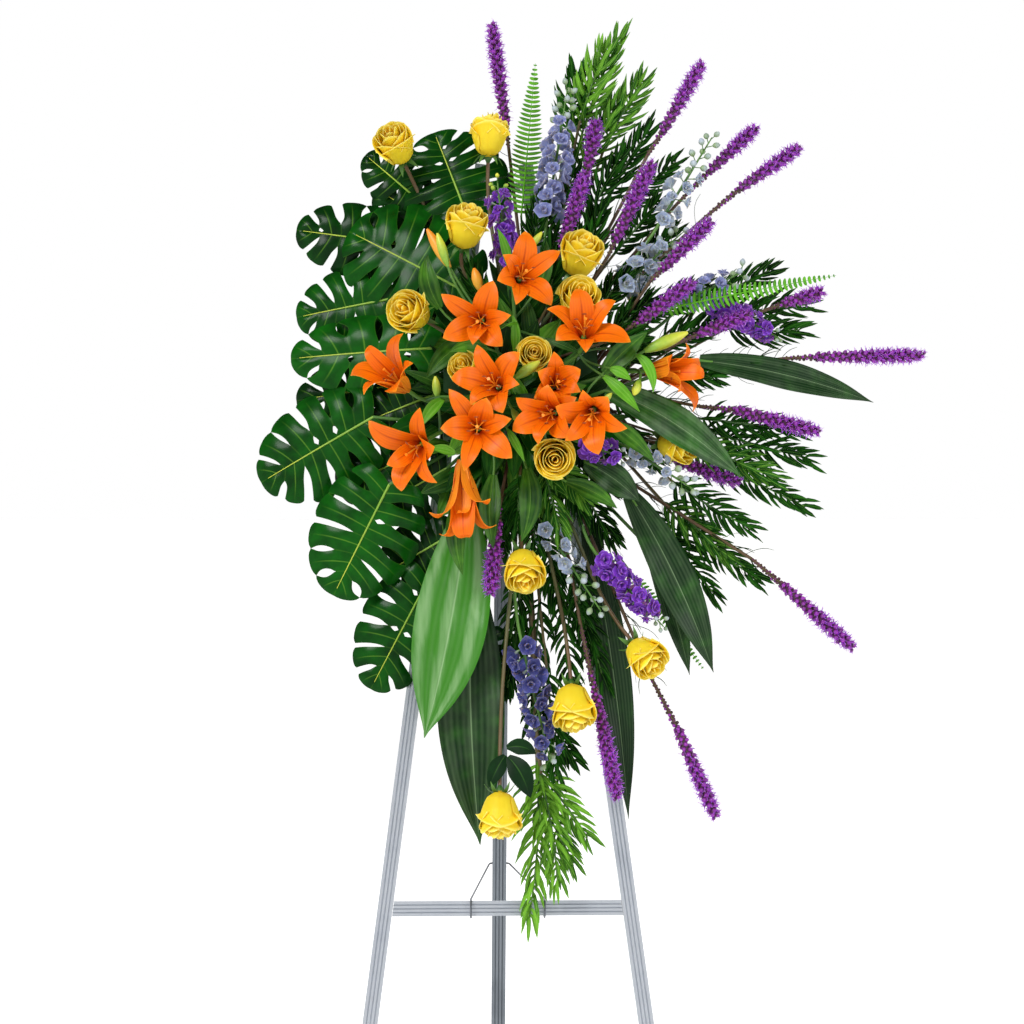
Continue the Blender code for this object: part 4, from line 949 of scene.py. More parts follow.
# Name, foot, tip and speck colours, how much the specks show, and roughness
STEMS = (
    ("liatris_bud", (62, 14, 58), (142, 36, 162), (60, 20, 60), 0.15, 0.5),
    ("liatris_closed", (44, 36, 22), (92, 36, 72), (34, 34, 20), 0.35, 0.6),
    ("liatris_style", (140, 60, 184), (188, 118, 220), (130, 50, 180), 0.2, 0.6),
    ("stem_green", (40, 84, 24), (84, 130, 42), (50, 70, 30), 0.3, 0.5),
    ("stem_brown", (74, 46, 30), (86, 78, 34), (54, 30, 22), 0.4, 0.55),
    ("rose_stem_green", (60, 78, 30), (98, 66, 40), (64, 94, 36), 0.4, 0.5),
    ("bud_green", (118, 160, 44), (210, 208, 64), (150, 180, 60), 0.25, 0.45),
    ("bud_orange", (214, 160, 40), (240, 130, 20), (224, 180, 60), 0.25, 0.45),
    ("bud_pale", (128, 152, 104), (164, 174, 186), (128, 140, 164), 0.4, 0.55),
    ("anther_brown", (150, 66, 10), (120, 50, 10), (190, 100, 20), 0.4, 0.8),
)

FINISHES = (
    *(LeafFinish(venation, *row) for venation, rows in LEAVES.items() for row in rows),
    *(PetalFinish(*row) for row in PETALS),
    *(StemFinish(*row) for row in STEMS),
    MetalFinish("satin_aluminium", (182, 187, 194), (146, 152, 162), 0.36),
    # A darker copy of the legs' aluminium for the rear leg: painted shade
    MetalFinish("shaded_aluminium", (120, 126, 132), (88, 94, 102), 0.42),
    MetalFinish("zinc_steel", (170, 172, 176), (120, 122, 128), 0.34, (1.0, 1.0, 1.0), 1.0),
    MetalFinish("galvanised_wire", (104, 108, 114), (70, 72, 78), 0.45, (1.0, 1.0, 0.3), 0.85),
    MouldedFinish("spacer_white", (214, 214, 208), (232, 232, 228), 0.5),
    MouldedFinish("tray_green", (14, 60, 30), (34, 86, 48), 0.5),
    MouldedFinish("wet_foam", (20, 58, 26), (46, 88, 44), 0.95, 1400.0, 0.0012),
    MouldedFinish("tie_black", (24, 24, 26), (52, 52, 54), 0.5),
    FloorFinish(),
)


# Bunches


class Plan:
    """Where one plant goes. Each kind of plan gives its places and then its sizes."""

    def spots(self) -> list[Vector]:
        """The points of its places, in their order."""
        return [STAND.seen(value) for value in vars(self).values() if isinstance(value, tuple)]


@dataclass(frozen=True)
class BladePlan(Plan):
    """A single leaf: its foot, middle and tip, its half width in millimetres, and how light it is."""

    foot: Place
    middle: Place
    tip: Place
    half_width: float
    shade: float = 0.5


def planned(kind: type[Plan], table: dict[str, Sequence[tuple]]) -> dict[str, list[Plan]]:
    """Turns the rows of each bunch in a table into plans."""
    return {node: [kind(*row) for row in rows] for node, rows in table.items()}


Forms = dict[str, list[Growth]]


@dataclass
class Bunch:
    """The plants of one node, which share a root in the foam and become one piece."""

    node: str
    slot: str
    toward: Place
    growth: Growth = field(default_factory=Growth)

    @property
    def root(self) -> Vector:
        """Where the stems meet in the foam."""
        way = (STAND.seen(self.toward) - STAND.heart).normalized()
        return STAND.heart + way * (STAND.way_out(STAND.heart, way) - STAND.root_depth)

    def leave(self, target: Vector, straight: float = 0.11, share: float = 0.65) -> Vector:
        """Where a stem on its way to a target may start to bend.

        Args:
            target: Where the stem goes.
            straight: The length that it runs straight for.
            share: The greatest share of its way that is straight.

        Returns:
            The point.
        """
        way = (target - self.root).normalized()
        outside = STAND.way_out(self.root, way) + STAND.past_foam
        return self.root + way * max(outside, min(straight, (target - self.root).length * share))

    def stem(
        self, target: Vector, end_way: Vector, radii: tuple[float, float], finish: str, *leave: float
    ) -> list[Vector]:
        """Grows a stem from the root.

        Args:
            target: Where it ends.
            end_way: The way it goes there.
            radii: Its radius at the root and at its end.
            finish: Name of its finish.
            leave: The length and the share of its way that are straight, where they aren't the usual ones.

        Returns:
            The points of its path.
        """
        path = [self.root, *bend(self.leave(target, *leave), target, target - self.root, end_way, 9)]
        self.growth.tube(path, np.linspace(*radii, len(path)), 8, finish)
        return path

    def stalk(
        self, points: Sequence[Vector], radii: Sequence[float], sides: int, finish: str, *leave: float
    ) -> list[Vector]:
        """Grows a stalk from the root through some points.

        Args:
            points: Where it goes.
            radii: Its radius at the root, where it leaves the foam, and at each point.
            sides: Number of its sides.
            finish: Name of its finish.
            leave: The length of its way that is straight, where it isn't the usual one.

        Returns:
            The points of its path.
        """
        path = [self.root, self.leave(points[0], *leave), *points]
        self.growth.tube(path, radii, sides, finish)
        return path


# The node, the record's slot, and where the bunch's root points to
BUNCHES = (
    ("rose_stems_upper", "stem", (-30, 1330, 190)),
    ("rose_stems_lower", "stem", (50, 965, 182)),
    ("lily_stems", "stem", (10, 1180, 230)),
    ("liatris_upper", "liatris", (176, 1469.7, 56.0)),
    ("liatris_right", "liatris", (281, 1234, 71.3)),
    ("liatris_lower", "liatris", (190, 965, 66)),
    ("liatris_centre", "liatris", (-10, 1005, 142)),
    ("delphinium_upper", "delphinium", (165, 1374, 96)),
    ("delphinium_right", "delphinium", (185, 1090, 118)),
    ("delphinium_lower", "delphinium", (-25, 965, 84)),
    ("stock_top", "stock", (0, 1362, 118)),
    ("stock_right", "stock", (305, 1312, 62)),
    ("stock_lower", "stock", (140, 1010, 150)),
    ("monstera_upper", "monstera", (-114.9, 1337.9, 52.9)),
    ("monstera_lower_left", "monstera", (-134.8, 991.4, 55.2)),
    ("greens_low", "podocarpus", (30, 965, 2)),
    ("aspidistra_front", "aspidistra", (-115, 965, 146)),
    ("aspidistra_right", "aspidistra", (185.7, 1156, 118.7)),
    ("aspidistra_lower", "aspidistra", (105, 965, 118)),
    ("greens_top", "podocarpus", (90, 1507, 8)),
    ("podocarpus_right", "podocarpus", (276.7, 1124.3, 8.0)),
    ("fern_right", "fern", (240, 1300, 122)),
)


@dataclass(frozen=True)
class Kind:
    """A kind of plant that grows in some of the bunches. Its forms are made once and then copied."""

    seed: int
    bunches: dict[str, list[Plan]]
    forms: Forms = field(default_factory=dict, kw_only=True)

    def grow(self, spray: Spray) -> None:
        """Grows every plant of its kind.

        Args:
            spray: The spray that they join.
        """
        rng = Random(self.seed)
        for node, plans in self.bunches.items():
            for plan in plans:
                self.plant(spray.bunches[node], plan, rng)

    def plant(self, bunch: Bunch, plan: Plan, rng: Random) -> None:
        """Grows one plant.

        Args:
            bunch: Its bunch.
            plan: Its places and sizes.
            rng: Source of small differences.
        """
        raise NotImplementedError


class Spray:
    """All the plants. Kinds of plants add to its bunches, and then it puts each piece in the scene."""

    def __init__(self, palette: Palette) -> None:
        """Makes the bunches, without plants yet.

        Args:
            palette: The material of each finish.
        """
        self.palette = palette
        self.bunches = {node: Bunch(node, slot, toward) for node, slot, toward in BUNCHES}
        self.blooms: dict[str, tuple[Growth, str]] = {}

    def bloom(self, node: str, slot: str) -> Growth:
        """The growth of a bloom that is a node of its own."""
        self.blooms[node] = (Growth(), slot)
        return self.blooms[node][0]

    def place(self) -> None:
        """Puts every piece in the scene, on the stand's body and in its node's place."""
        grown = {node: (bunch.growth, bunch.slot) for node, bunch in self.bunches.items()}
        for node, (growth, slot) in (grown | self.blooms).items():
            piece = growth.build(node + "_grown", self.palette)
            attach(piece, "frame")
            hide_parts(node)
            log.info("%s: %d triangles", piece.name, sum(len(p.vertices) - 2 for p in piece.data.polygons))


# Roses


@dataclass(frozen=True)
class RosePlan:
    """A rose: its node, its place, the way it faces, its size beside a full one, and its stem's bunch."""

    node: str
    centre: Place
    faces: Place
    size: float
    bunch: str


@dataclass(frozen=True)
class Whorl:
    """Petals of a rose at one depth: count, radius, rim height, half angle, roll, closing and shade."""

    petals: int
    radius: float
    top: float
    half_angle: float
    roll: float
    close: float
    shade: float


# As in RosePlan
ROSES = (
    ("rose_1", (-166, 1542, 95), (-0.35, 0.55, 0.75), 0.97, "monstera_upper"),
    ("rose_2", (-26, 1556, 76), (0.05, 1.0, 0.15), 0.95, "rose_stems_upper"),
    ("rose_3", (-61, 1420, 150), (0.15, 0.75, 0.55), 1.0, "rose_stems_upper"),
    ("rose_4", (-143, 1293, 165), (-0.45, 0.1, 0.85), 1.0, "rose_stems_upper"),
    ("rose_5", (110, 1378, 140), (0.2, 0.6, 0.65), 1.03, "rose_stems_upper"),
    ("rose_6", (107, 1312, 168), (0.1, 0.35, 0.85), 1.0, "lily_stems"),
    ("rose_7", (41, 1230, 190), (0.0, 0.05, 1.0), 0.8, "lily_stems"),
    ("rose_8", (71, 1077, 205), (0.0, -0.25, 0.95), 0.97, "lily_stems"),
    ("rose_9", (256, 1096, 97), (0.7, -0.15, 0.6), 0.95, "lily_stems"),
    ("rose_10", (26, 909, 150), (0.05, -0.75, 0.6), 1.0, "rose_stems_lower"),
    ("rose_11", (208, 778, 120), (0.45, -0.6, 0.55), 0.95, "rose_stems_lower"),
    ("rose_12", (100, 702, 110), (0.05, -0.9, 0.3), 1.05, "rose_stems_lower"),
    ("rose_13", (-10, 540, 116), (0.0, -1.0, 0.12), 1.02, "rose_stems_lower"),
    ("rose_14", (-61, 1207, 165), (-0.3, 0.3, 0.9), 0.8, "lily_stems"),
)

# As in Whorl, from the outside in
WHORLS = (
    (3, 1.00, 0.0560, 78, 0.0064, 0.06, 0.0),
    (3, 0.94, 0.0600, 74, 0.0056, 0.10, 0.05),
    (3, 0.82, 0.0630, 72, 0.0046, 0.14, 0.2),
    (3, 0.66, 0.0655, 72, 0.0038, 0.16, 0.4),
    (3, 0.49, 0.0670, 74, 0.0028, 0.18, 0.6),
    (2, 0.33, 0.0680, 104, 0.0018, 0.20, 0.8),
    (2, 0.17, 0.0680, 116, 0.0008, 0.20, 1.0),
)


@dataclass(frozen=True)
class Roses:
    """The yellow roses, with their stems, sepals and a few leaves."""

    profile_rise: Sizes = (0.0, 0.008, 0.030, 0.052, 0.080)
    profile_radius: Sizes = (0.0055, 0.0185, 0.0270, 0.0285, 0.0290)
    mid_height: float = 0.032
    whorl_turn: float = 1.25
    petal_columns: int = 12
    petal_rows: int = 10
    petal_thickness: float = 0.0005
    stem_radius: float = 0.0028
    cup_depths: Sizes = (-0.009, -0.006, -0.003, 0.0, 0.002)
    cup_radii: Sizes = (0.0028, 0.0040, 0.0058, 0.0060, 0.0052)
    sepals: int = 5
    sepal_half: float = 0.0042
    sepal: BladeForm = BladeForm(0.3, 0.75, 1.6, 1.1, 0.25, rows=7, columns=2)
    leaflet: BladeForm = BladeForm(0.42, 0.25, 2.0, 0.9, -0.1, 0.2, 0.05, 5.0, 12, 6, 0.0006)
    leaflets: tuple[BladePlan, ...] = (
        BladePlan((-2, 628, 110), (-14, 612, 120), (-27, 580, 112), 13, 0.2),
        BladePlan((2, 626, 112), (22, 606, 126), (36, 564, 116), 17, 0.1),
        BladePlan((0, 640, 108), (24, 646, 118), (44, 630, 112), 12, 0.3),
    )
    whorls: tuple[Whorl, ...] = tuple(Whorl(*row) for row in WHORLS)
    plans: tuple[RosePlan, ...] = tuple(RosePlan(*row) for row in ROSES)

    def grow(self, spray: Spray) -> None:
        """Grows every rose.

        Args:
            spray: The spray that they join.
        """
        rng = Random(5)
        for plan in self.plans:
            ring = Ring.of(STAND.spray_way(*plan.faces))
            base = STAND.seen(plan.centre) - ring.axis * self.mid_height * plan.size
            bloom = spray.bloom(plan.node, "rose")
            for k, whorl in enumerate(self.whorls):
                for petal in range(whorl.petals):
                    turn = FULL_TURN * petal / whorl.petals + k * self.whorl_turn + rng.uniform(-0.12, 0.12)
                    self.petal(bloom, base, ring, plan.size, whorl, turn, rng)
            self.stalk(spray.bunches[plan.bunch], base, ring)
        for leaf in self.leaflets:
            foot, middle, tip = leaf.spots()
            path = bend(foot, tip, middle - foot, tip - middle, self.leaflet.rows)
            side = (middle - foot).cross(STAND.front).normalized()
            growth = spray.bunches["rose_stems_lower"].growth
            growth.blade(path, side, leaf.half_width * MM, self.leaflet, "rose_leaf_green", leaf.shade)

    def petal(
        self, growth: Growth, base: Vector, ring: Ring, size: float, whorl: Whorl, turn: float,
        rng: Random,
    ) -> None:
        """Grows a cupped petal with a rolled rim.

        Args:
            growth: Where it grows.
            base: The bloom's base.
            ring: The ways round the bloom.
            size: The bloom's size beside a full one.
            whorl: The petal's whorl.
            turn: Where the petal stands round the axis.
            rng: Source of small differences.
        """
        u = np.linspace(-1.0, 1.0, self.petal_columns)[None, :]
        v = np.linspace(0.0, 1.0, self.petal_rows)[:, None]
        rise = whorl.top * (1 + rng.uniform(-0.04, 0.02)) * v * (1 - 0.26 * np.abs(u) ** 2.6)
        radius = np.interp(rise, self.profile_rise, self.profile_radius) * whorl.radius
        curl = whorl.roll * np.clip((v - 0.74) / 0.26, 0, 1) ** 1.6 * (0.55 + 0.75 * u * u)
        radius = radius * (1 + 0.055 * u) * (1 - whorl.close * v**2.5) + curl
        ripple = 0.0011 * np.sin(3.3 * u + rng.uniform(0, 6)) * v**4
        rise = rise - curl * 0.8 + ripple + 0.0022 * np.exp(-((u / 0.22) ** 2)) * v**8
        angle = (turn + math.radians(whorl.half_angle) * u * np.minimum(1.0, 0.62 + 0.9 * v))[..., None]
        axis, facing, side = (np.array(way) for way in (ring.axis, ring.facing, ring.side))
        spoke = np.cos(angle) * facing + np.sin(angle) * side
        points = np.array(base) + (axis * rise[..., None] + spoke * radius[..., None]) * size
        growth.sheet(points, (v, u, whorl.shade), self.petal_thickness, "rose_yellow", turned=True)

    def stalk(self, bunch: Bunch, base: Vector, ring: Ring) -> None:
        """Grows a rose's stem, the swelling under its bloom and its sepals.

        Args:
            bunch: Its bunch.
            base: The bloom's base.
            ring: The ways round the bloom.
        """
        axis = ring.axis
        bunch.stem(base - axis * 0.006, axis, (self.stem_radius, self.stem_radius), "rose_stem_green", 0.10)
        bunch.growth.tube([base + axis * d for d in self.cup_depths], self.cup_radii, 10, "stem_green")
        for k in range(self.sepals):
            out = ring.spoke(FULL_TURN * (k + 0.5) / self.sepals)
            start, tip = base + out * 0.004, base + out * 0.024 - axis * 0.012
            path = bend(start, tip, out + axis * 0.6, out - axis * 1.2, self.sepal.rows)
            bunch.growth.blade(path, out.cross(axis), self.sepal_half, self.sepal, "stem_green")


# Lilies


@dataclass(frozen=True)
class LilyPlan:
    """A lily: its node, where its throat is, and where its tepals' tips are seen from there."""

    node: str
    throat: Place
    tips: tuple[tuple[float, float], ...]


@dataclass(frozen=True)
class BudPlan(Plan):
    """A closed bud on the lily stems: its foot and tip, its radius in millimetres, and its finish."""

    foot: Place
    tip: Place
    radius: float
    finish: str = "bud_green"


# As in LilyPlan
LILIES = (
    ("lily_top", (20, 1345, 190), ((8, 70), (60, 40), (42, -44), (-8, -39), (-26, 34), (-32, -8))),
    ("lily_upper_left", (-38, 1281, 195),
     ((-60, 40), (18, 60), (45, -3), (-9, -36), (-55, -30), (33, -36))),
    ("lily_left", (-158, 1186, 185), ((-2, 76), (-42, 62), (18, 34), (-76, 6), (-58, -15), (-12, -14))),
    ("lily_upper_right", (116, 1260, 215),
     ((-12, 69), (52, 46), (72, -3), (0, -26), (-44, -6), (-57, 34))),
    ("lily_middle_upper", (-14, 1183, 222),
     ((-30, 62), (33, 51), (-69, 12), (33, 3), (3, -42), (-36, -30))),
    ("lily_lower_left", (-130, 1095, 200),
     ((-78, 33), (0, 56), (-20, -70), (20, -62), (-50, -28), (22, -3))),
    ("lily_middle_lower", (-43, 1120, 232),
     ((-42, 60), (-56, 0), (-21, -64), (51, -44), (50, 14), (12, 46))),
    ("lily_inner_right", (71, 1183, 205), ((0, 52), (41, 23), (41, -6), (-30, -18), (-24, 22), (12, -30))),
    ("lily_front_right", (71, 1143, 226),
     ((-57, 23), (-62, -26), (-23, -47), (32, 27), (24, -36), (-6, 42))),
    ("lily_outer_right", (130, 1146, 236),
     ((-14, 32), (20, 23), (51, -26), (8, -65), (-42, -44), (-56, 8))),
    ("lily_hanging", (-67, 1057, 196), ((-51, -68), (-42, -92), (6, -98), (48, -45), (54, -80), (-5, -60))),
    ("lily_right", (224, 1206, 165), ((48, 42), (60, 28), (70, -10), (57, -60), (36, -36), (21, 32))),
)

# As in BudPlan
LILY_BUDS = (
    ((-85, 1360, 150), (-119, 1418, 146), 8.5, "bud_orange"),
    ((-88, 1362, 158), (-104, 1412, 160), 7.0),
    ((-40, 1326, 176), (-49, 1360, 180), 8.0, "bud_orange"),
    ((207, 1236, 186), (272, 1264, 178), 9.5),
    ((13, 1196, 214), (50, 1220, 220), 8.0),
    ((-104, 1166, 176), (-107, 1198, 182), 6.5),
    ((-56, 1158, 222), (-22, 1141, 246), 7.5, "bud_orange"),
    ((200, 1192, 190), (191, 1170, 196), 7.0),
    ((8, 1149, 214), (23, 1123, 222), 6.0),
    ((35, 1390, 150), (53, 1414, 152), 5.5),
    ((146, 1160, 200), (158, 1173, 206), 4.5),
)

# As in BladePlan
LILY_LEAVES = (
    ((146, 1204, 200), (178, 1240, 214), (211, 1264, 204), 16, 0.25),
    ((196, 1230, 200), (224, 1214, 216), (220, 1174, 206), 8, 0.9),
    ((156, 1210, 206), (172, 1206, 214), (187, 1192, 212), 8, 0.9),
    ((146, 1198, 204), (172, 1180, 220), (200, 1145, 214), 9, 0.8),
    ((-95, 1164, 180), (-116, 1152, 200), (-130, 1120, 196), 9, 0.9),
    ((-78, 1083, 206), (-96, 1092, 222), (-118, 1090, 224), 7, 0.9),
    ((2, 1118, 208), (14, 1098, 222), (27, 1070, 216), 6, 0.9),
    ((12, 1236, 180), (16, 1264, 196), (9, 1290, 190), 7, 0.9),
    ((16, 1270, 186), (6, 1300, 204), (-18, 1262, 214), 6, 0.8),
    ((4, 1360, 150), (0, 1392, 164), (-14, 1420, 160), 7, 0.6),
    ((58, 1254, 170), (86, 1246, 184), (114, 1230, 178), 6, 0.2),
    ((-70, 1016, 160), (-84, 960, 176), (-66, 900, 158), 15, 0.2),
    ((30, 1060, 150), (44, 1010, 166), (22, 950, 150), 17, 0.2),
    ((-20, 1050, 150), (-30, 990, 172), (-20, 940, 160), 16, 0.25),
    ((-60, 1250, 130), (-96, 1232, 152), (-120, 1196, 146), 16, 0.25),
    ((-100, 1300, 120), (-126, 1340, 132), (-118, 1380, 120), 15, 0.3),
    ((150, 1130, 150), (188, 1110, 168), (222, 1070, 150), 13, 0.3),
    ((40, 1320, 120), (62, 1350, 140), (60, 1400, 130), 12, 0.25),
    ((-30, 1240, 160), (-60, 1250, 180), (-86, 1234, 176), 11, 0.4),
    ((90, 1040, 150), (130, 1030, 168), (166, 1000, 150), 13, 0.3),
)


@dataclass(frozen=True)
class Lilies:
    """The orange lilies, with their stems, leaves and buds."""

    tepal_length: float = 0.078
    tepal_apart: float = math.radians(55)
    least_reach: float = 0.020
    spacing_rounds: int = 40
    petal_half: float = 0.0185
    sepal_half: float = 0.0138
    throat_depth: float = 0.016
    stem_radius: float = 0.0026
    bud_stalk_radius: float = 0.0021
    leaf_stalk_radius: float = 0.0018
    stamens: int = 6
    petal: BladeForm = BladeForm(0.46, 0.34, 2.3, 0.85, 0.16, -0.05, 0.035, 2.0, 15, 7, 0.0008)
    sepal: BladeForm = BladeForm(0.46, 0.42, 2.2, 0.95, 0.14, 0.0, 0.02, 2.0, 15, 6, 0.0008)
    leaf: BladeForm = BladeForm(0.42, 0.35, 1.8, 1.0, 0.30, 0.0, 0.03, 2.0, 10, 4, 0.0006)
    plans: tuple[LilyPlan, ...] = tuple(LilyPlan(*row) for row in LILIES)
    buds: tuple[BudPlan, ...] = tuple(BudPlan(*row) for row in LILY_BUDS)
    leaves: tuple[BladePlan, ...] = tuple(BladePlan(*row) for row in LILY_LEAVES)

    def grow(self, spray: Spray) -> None:
        """Grows every lily, and the leaves and buds between them.

        Args:
            spray: The spray that they join.
        """
        bunch = spray.bunches["lily_stems"]
        rng = Random(3)
        stems = [self.bloom(spray, bunch, plan, rng) for plan in self.plans]
        joints = [point for path in stems for point in path[2:-2]]
        for bud in self.buds:
            foot, tip = bud.spots()
            self.branch(bunch, joints, foot, tip - foot, self.bud_stalk_radius)
            bunch.growth.bead(foot, tip, bud.radius * MM, (10, 9), bud.finish, rng.uniform(0.3, 0.7))
        for leaf in self.leaves:
            foot, middle, tip = leaf.spots()
            way = (middle - foot).normalized()
            self.branch(bunch, joints, foot, way, self.leaf_stalk_radius)
            path = bend(foot, tip, way, tip - middle, self.leaf.rows, 0.38)
            side, half, phase = way.cross(STAND.front), leaf.half_width * MM, foot.x * 40
            bunch.growth.blade(path, side, half, self.leaf, "lily_leaf_green", leaf.shade, phase)

    def branch(
        self, bunch: Bunch, joints: Sequence[Vector], foot: Vector, way: Vector, radius: float
    ) -> None:
        """Grows a side stalk from the nearest lily stem.

        Args:
            bunch: The lily stems.
            joints: Points of the stems that a stalk may start at.
            foot: Where the stalk ends.
            way: The way it goes there.
            radius: Its radius.
        """
        behind = foot - way.normalized() * 0.045
        start = min(joints, key=lambda point: (point - behind).length)
        path = bend(start, foot, behind - start, way, 7, 0.35)
        bunch.growth.tube(path, [radius] * len(path), 7, "stem_green")

    def shape(self, plan: LilyPlan) -> tuple[Vector, Ring, list[tuple[float, float, float]]]:
        """Works out a lily from where its tepals' tips are seen, and spaces the tepals round it.

        Args:
            plan: The lily's places.

        Returns:
            Its heart, the ways round it, and the angle, reach and rise of each tepal.
        """
        heart = STAND.seen(plan.throat)
        across, height, out = plan.throat
        spots = []
        for right, up in plan.tips:
            flat = math.hypot(right, up) * MM
            rise = math.sqrt(max(self.tepal_length**2 - flat**2, 0.0)) * 0.55
            spots.append(STAND.seen((across + right, height + up, out + rise / MM)))
        ring = Ring.of(sum(spots, Vector()) / len(spots) - heart)
        polar = []
        for spot in spots:
            rise = (spot - heart).dot(ring.axis)
            spoke = spot - heart - ring.axis * rise
            angle = math.atan2(spoke.dot(ring.side), spoke.dot(ring.facing))
            polar.append((angle, max(spoke.length, self.least_reach), rise))
        polar.sort()
        angles = [angle for angle, _, _ in polar]
        for _ in range(self.spacing_rounds):
            for k in range(len(angles)):
                after = (k + 1) % len(angles)
                lack = self.tepal_apart - (angles[after] + (0.0 if after else FULL_TURN) - angles[k])
                if lack > 0:
                    angles[k] -= lack / 2
                    angles[after] += lack / 2
        return heart, ring, [(angle, reach, rise) for angle, (_, reach, rise) in zip(angles, polar)]

    def bloom(self, spray: Spray, bunch: Bunch, plan: LilyPlan, rng: Random) -> list[Vector]:
        """Grows one lily with its stem.

        Args:
            spray: The spray that it joins.
            bunch: The lily stems.
            plan: Its places.
            rng: Source of small differences.

        Returns:
            The path of its stem.
        """
        growth = spray.bloom(plan.node, "lily")
        heart, ring, tepals = self.shape(plan)
        axis = ring.axis
        base = heart - axis * self.throat_depth
        for k, (angle, reach, rise) in enumerate(tepals):
            way = ring.spoke(angle)
            outer, inner = (self.sepal, self.sepal_half, 0.0), (self.petal, self.petal_half, 0.002)
            form, half, lift = outer if k % 2 else inner
            start = base + way * 0.0035 + axis * lift
            tip = heart + way * reach + axis * rise
            droop = 0.25 + 0.5 * min(reach / self.tepal_length, 1.0)
            path = bend(start, tip, axis + way * 0.30, way - axis * droop, form.rows, 0.42)
            shade, phase = rng.uniform(0.3, 0.7), rng.uniform(0, 6)
            growth.blade(path, way.cross(axis), half, form, "lily_orange", shade, phase)
        cup = [base + axis * d for d in (-0.0005, 0.006, 0.012)]
        growth.tube(cup, (0.0042, 0.0050, 0.0036), 10, "stem_green")
        self.throat(growth, base, ring, rng)
        radii = (self.stem_radius, self.stem_radius * 1.2)
        return bunch.stem(base - axis * 0.0006, axis, radii, "stem_green", 0.06, 0.5)

    def throat(self, growth: Growth, base: Vector, ring: Ring, rng: Random) -> None:
        """Grows the pistil and the stamens.

        Args:
            growth: Where they grow.
            base: The bloom's base.
            ring: The ways round the bloom.
            rng: Source of small differences.
        """
        axis = ring.axis
        pistil = [base + axis * d for d in (0.006, 0.030, 0.050, 0.054)]
        growth.tube(pistil, (0.0016, 0.0011, 0.0012, 0.0026), 6, "bud_orange", 0.6)
        for k in range(self.stamens):
            out = ring.spoke(FULL_TURN * k / self.stamens + rng.uniform(-0.2, 0.2))
            tip = base + axis * rng.uniform(0.040, 0.048) + out * rng.uniform(0.010, 0.016)
            path = bend(base + axis * 0.006, tip, axis, axis + out, 5)
            growth.tube(path, [0.0007] * len(path), 5, "bud_orange", 0.4)
            half = ring.side * 0.0034
            growth.bead(tip - half, tip + half, 0.0013, (6, 4), "anther_brown")


# Liatris


@dataclass(frozen=True)
class SpikePlan(Plan):
    """A liatris spike: its tip, where its fluffy and beaded parts start, and its count of needle leaves."""

    tip: Place
    foot: Place
    beads: Place
    needles: int = 8


# As in SpikePlan
SPIKES = {
    "liatris_upper": (
        ((-22, 1724, 12), (-1, 1571, 12), (3, 1540, 14)),
        ((134, 1580, 62), (122, 1509, 62), (118, 1480, 62)),
        ((119, 1503, 112), (83, 1392, 108), (76, 1370, 106)),
        ((218, 1518, 100), (163, 1401, 96), (152, 1378, 94)),
        ((293, 1667, 48), (233, 1563, 50), (211, 1529, 50)),
        ((374, 1571, 66), (305, 1506, 64), (256, 1457, 62)),
        ((440, 1542, 56), (349, 1479, 54), (295, 1434, 52)),
    ),
    "liatris_right": (
        ((307, 1431, 118), (233, 1358, 114), (215, 1340, 112)),
        ((280, 1340, 140), (199, 1281, 134), (180, 1268, 132)),
        ((365, 1292, 97), (289, 1262, 96), (262, 1250, 95)),
        ((475, 1326, 34), (416, 1307, 34), (395, 1300, 34)),
        ((628, 1230, 64), (463, 1227, 60), (416, 1225, 60), 34),
        ((470, 1115, 84), (343, 1148, 82), (284, 1154, 80), 20),
        ((350, 1040, 44), (253, 1071, 46), (235, 1078, 48)),
    ),
    "liatris_lower": (
        ((523, 789, 60), (415, 885, 60), (370, 923, 60), 30),
        ((316, 534, 70), (257, 669, 70), (217, 746, 70), 40),
        ((167, 563, 88), (133, 722, 86), (112, 820, 86), 44),
    ),
    "liatris_centre": (((-25, 872, 146), (-14, 984, 144), (-10, 1005, 142), 0),),
}


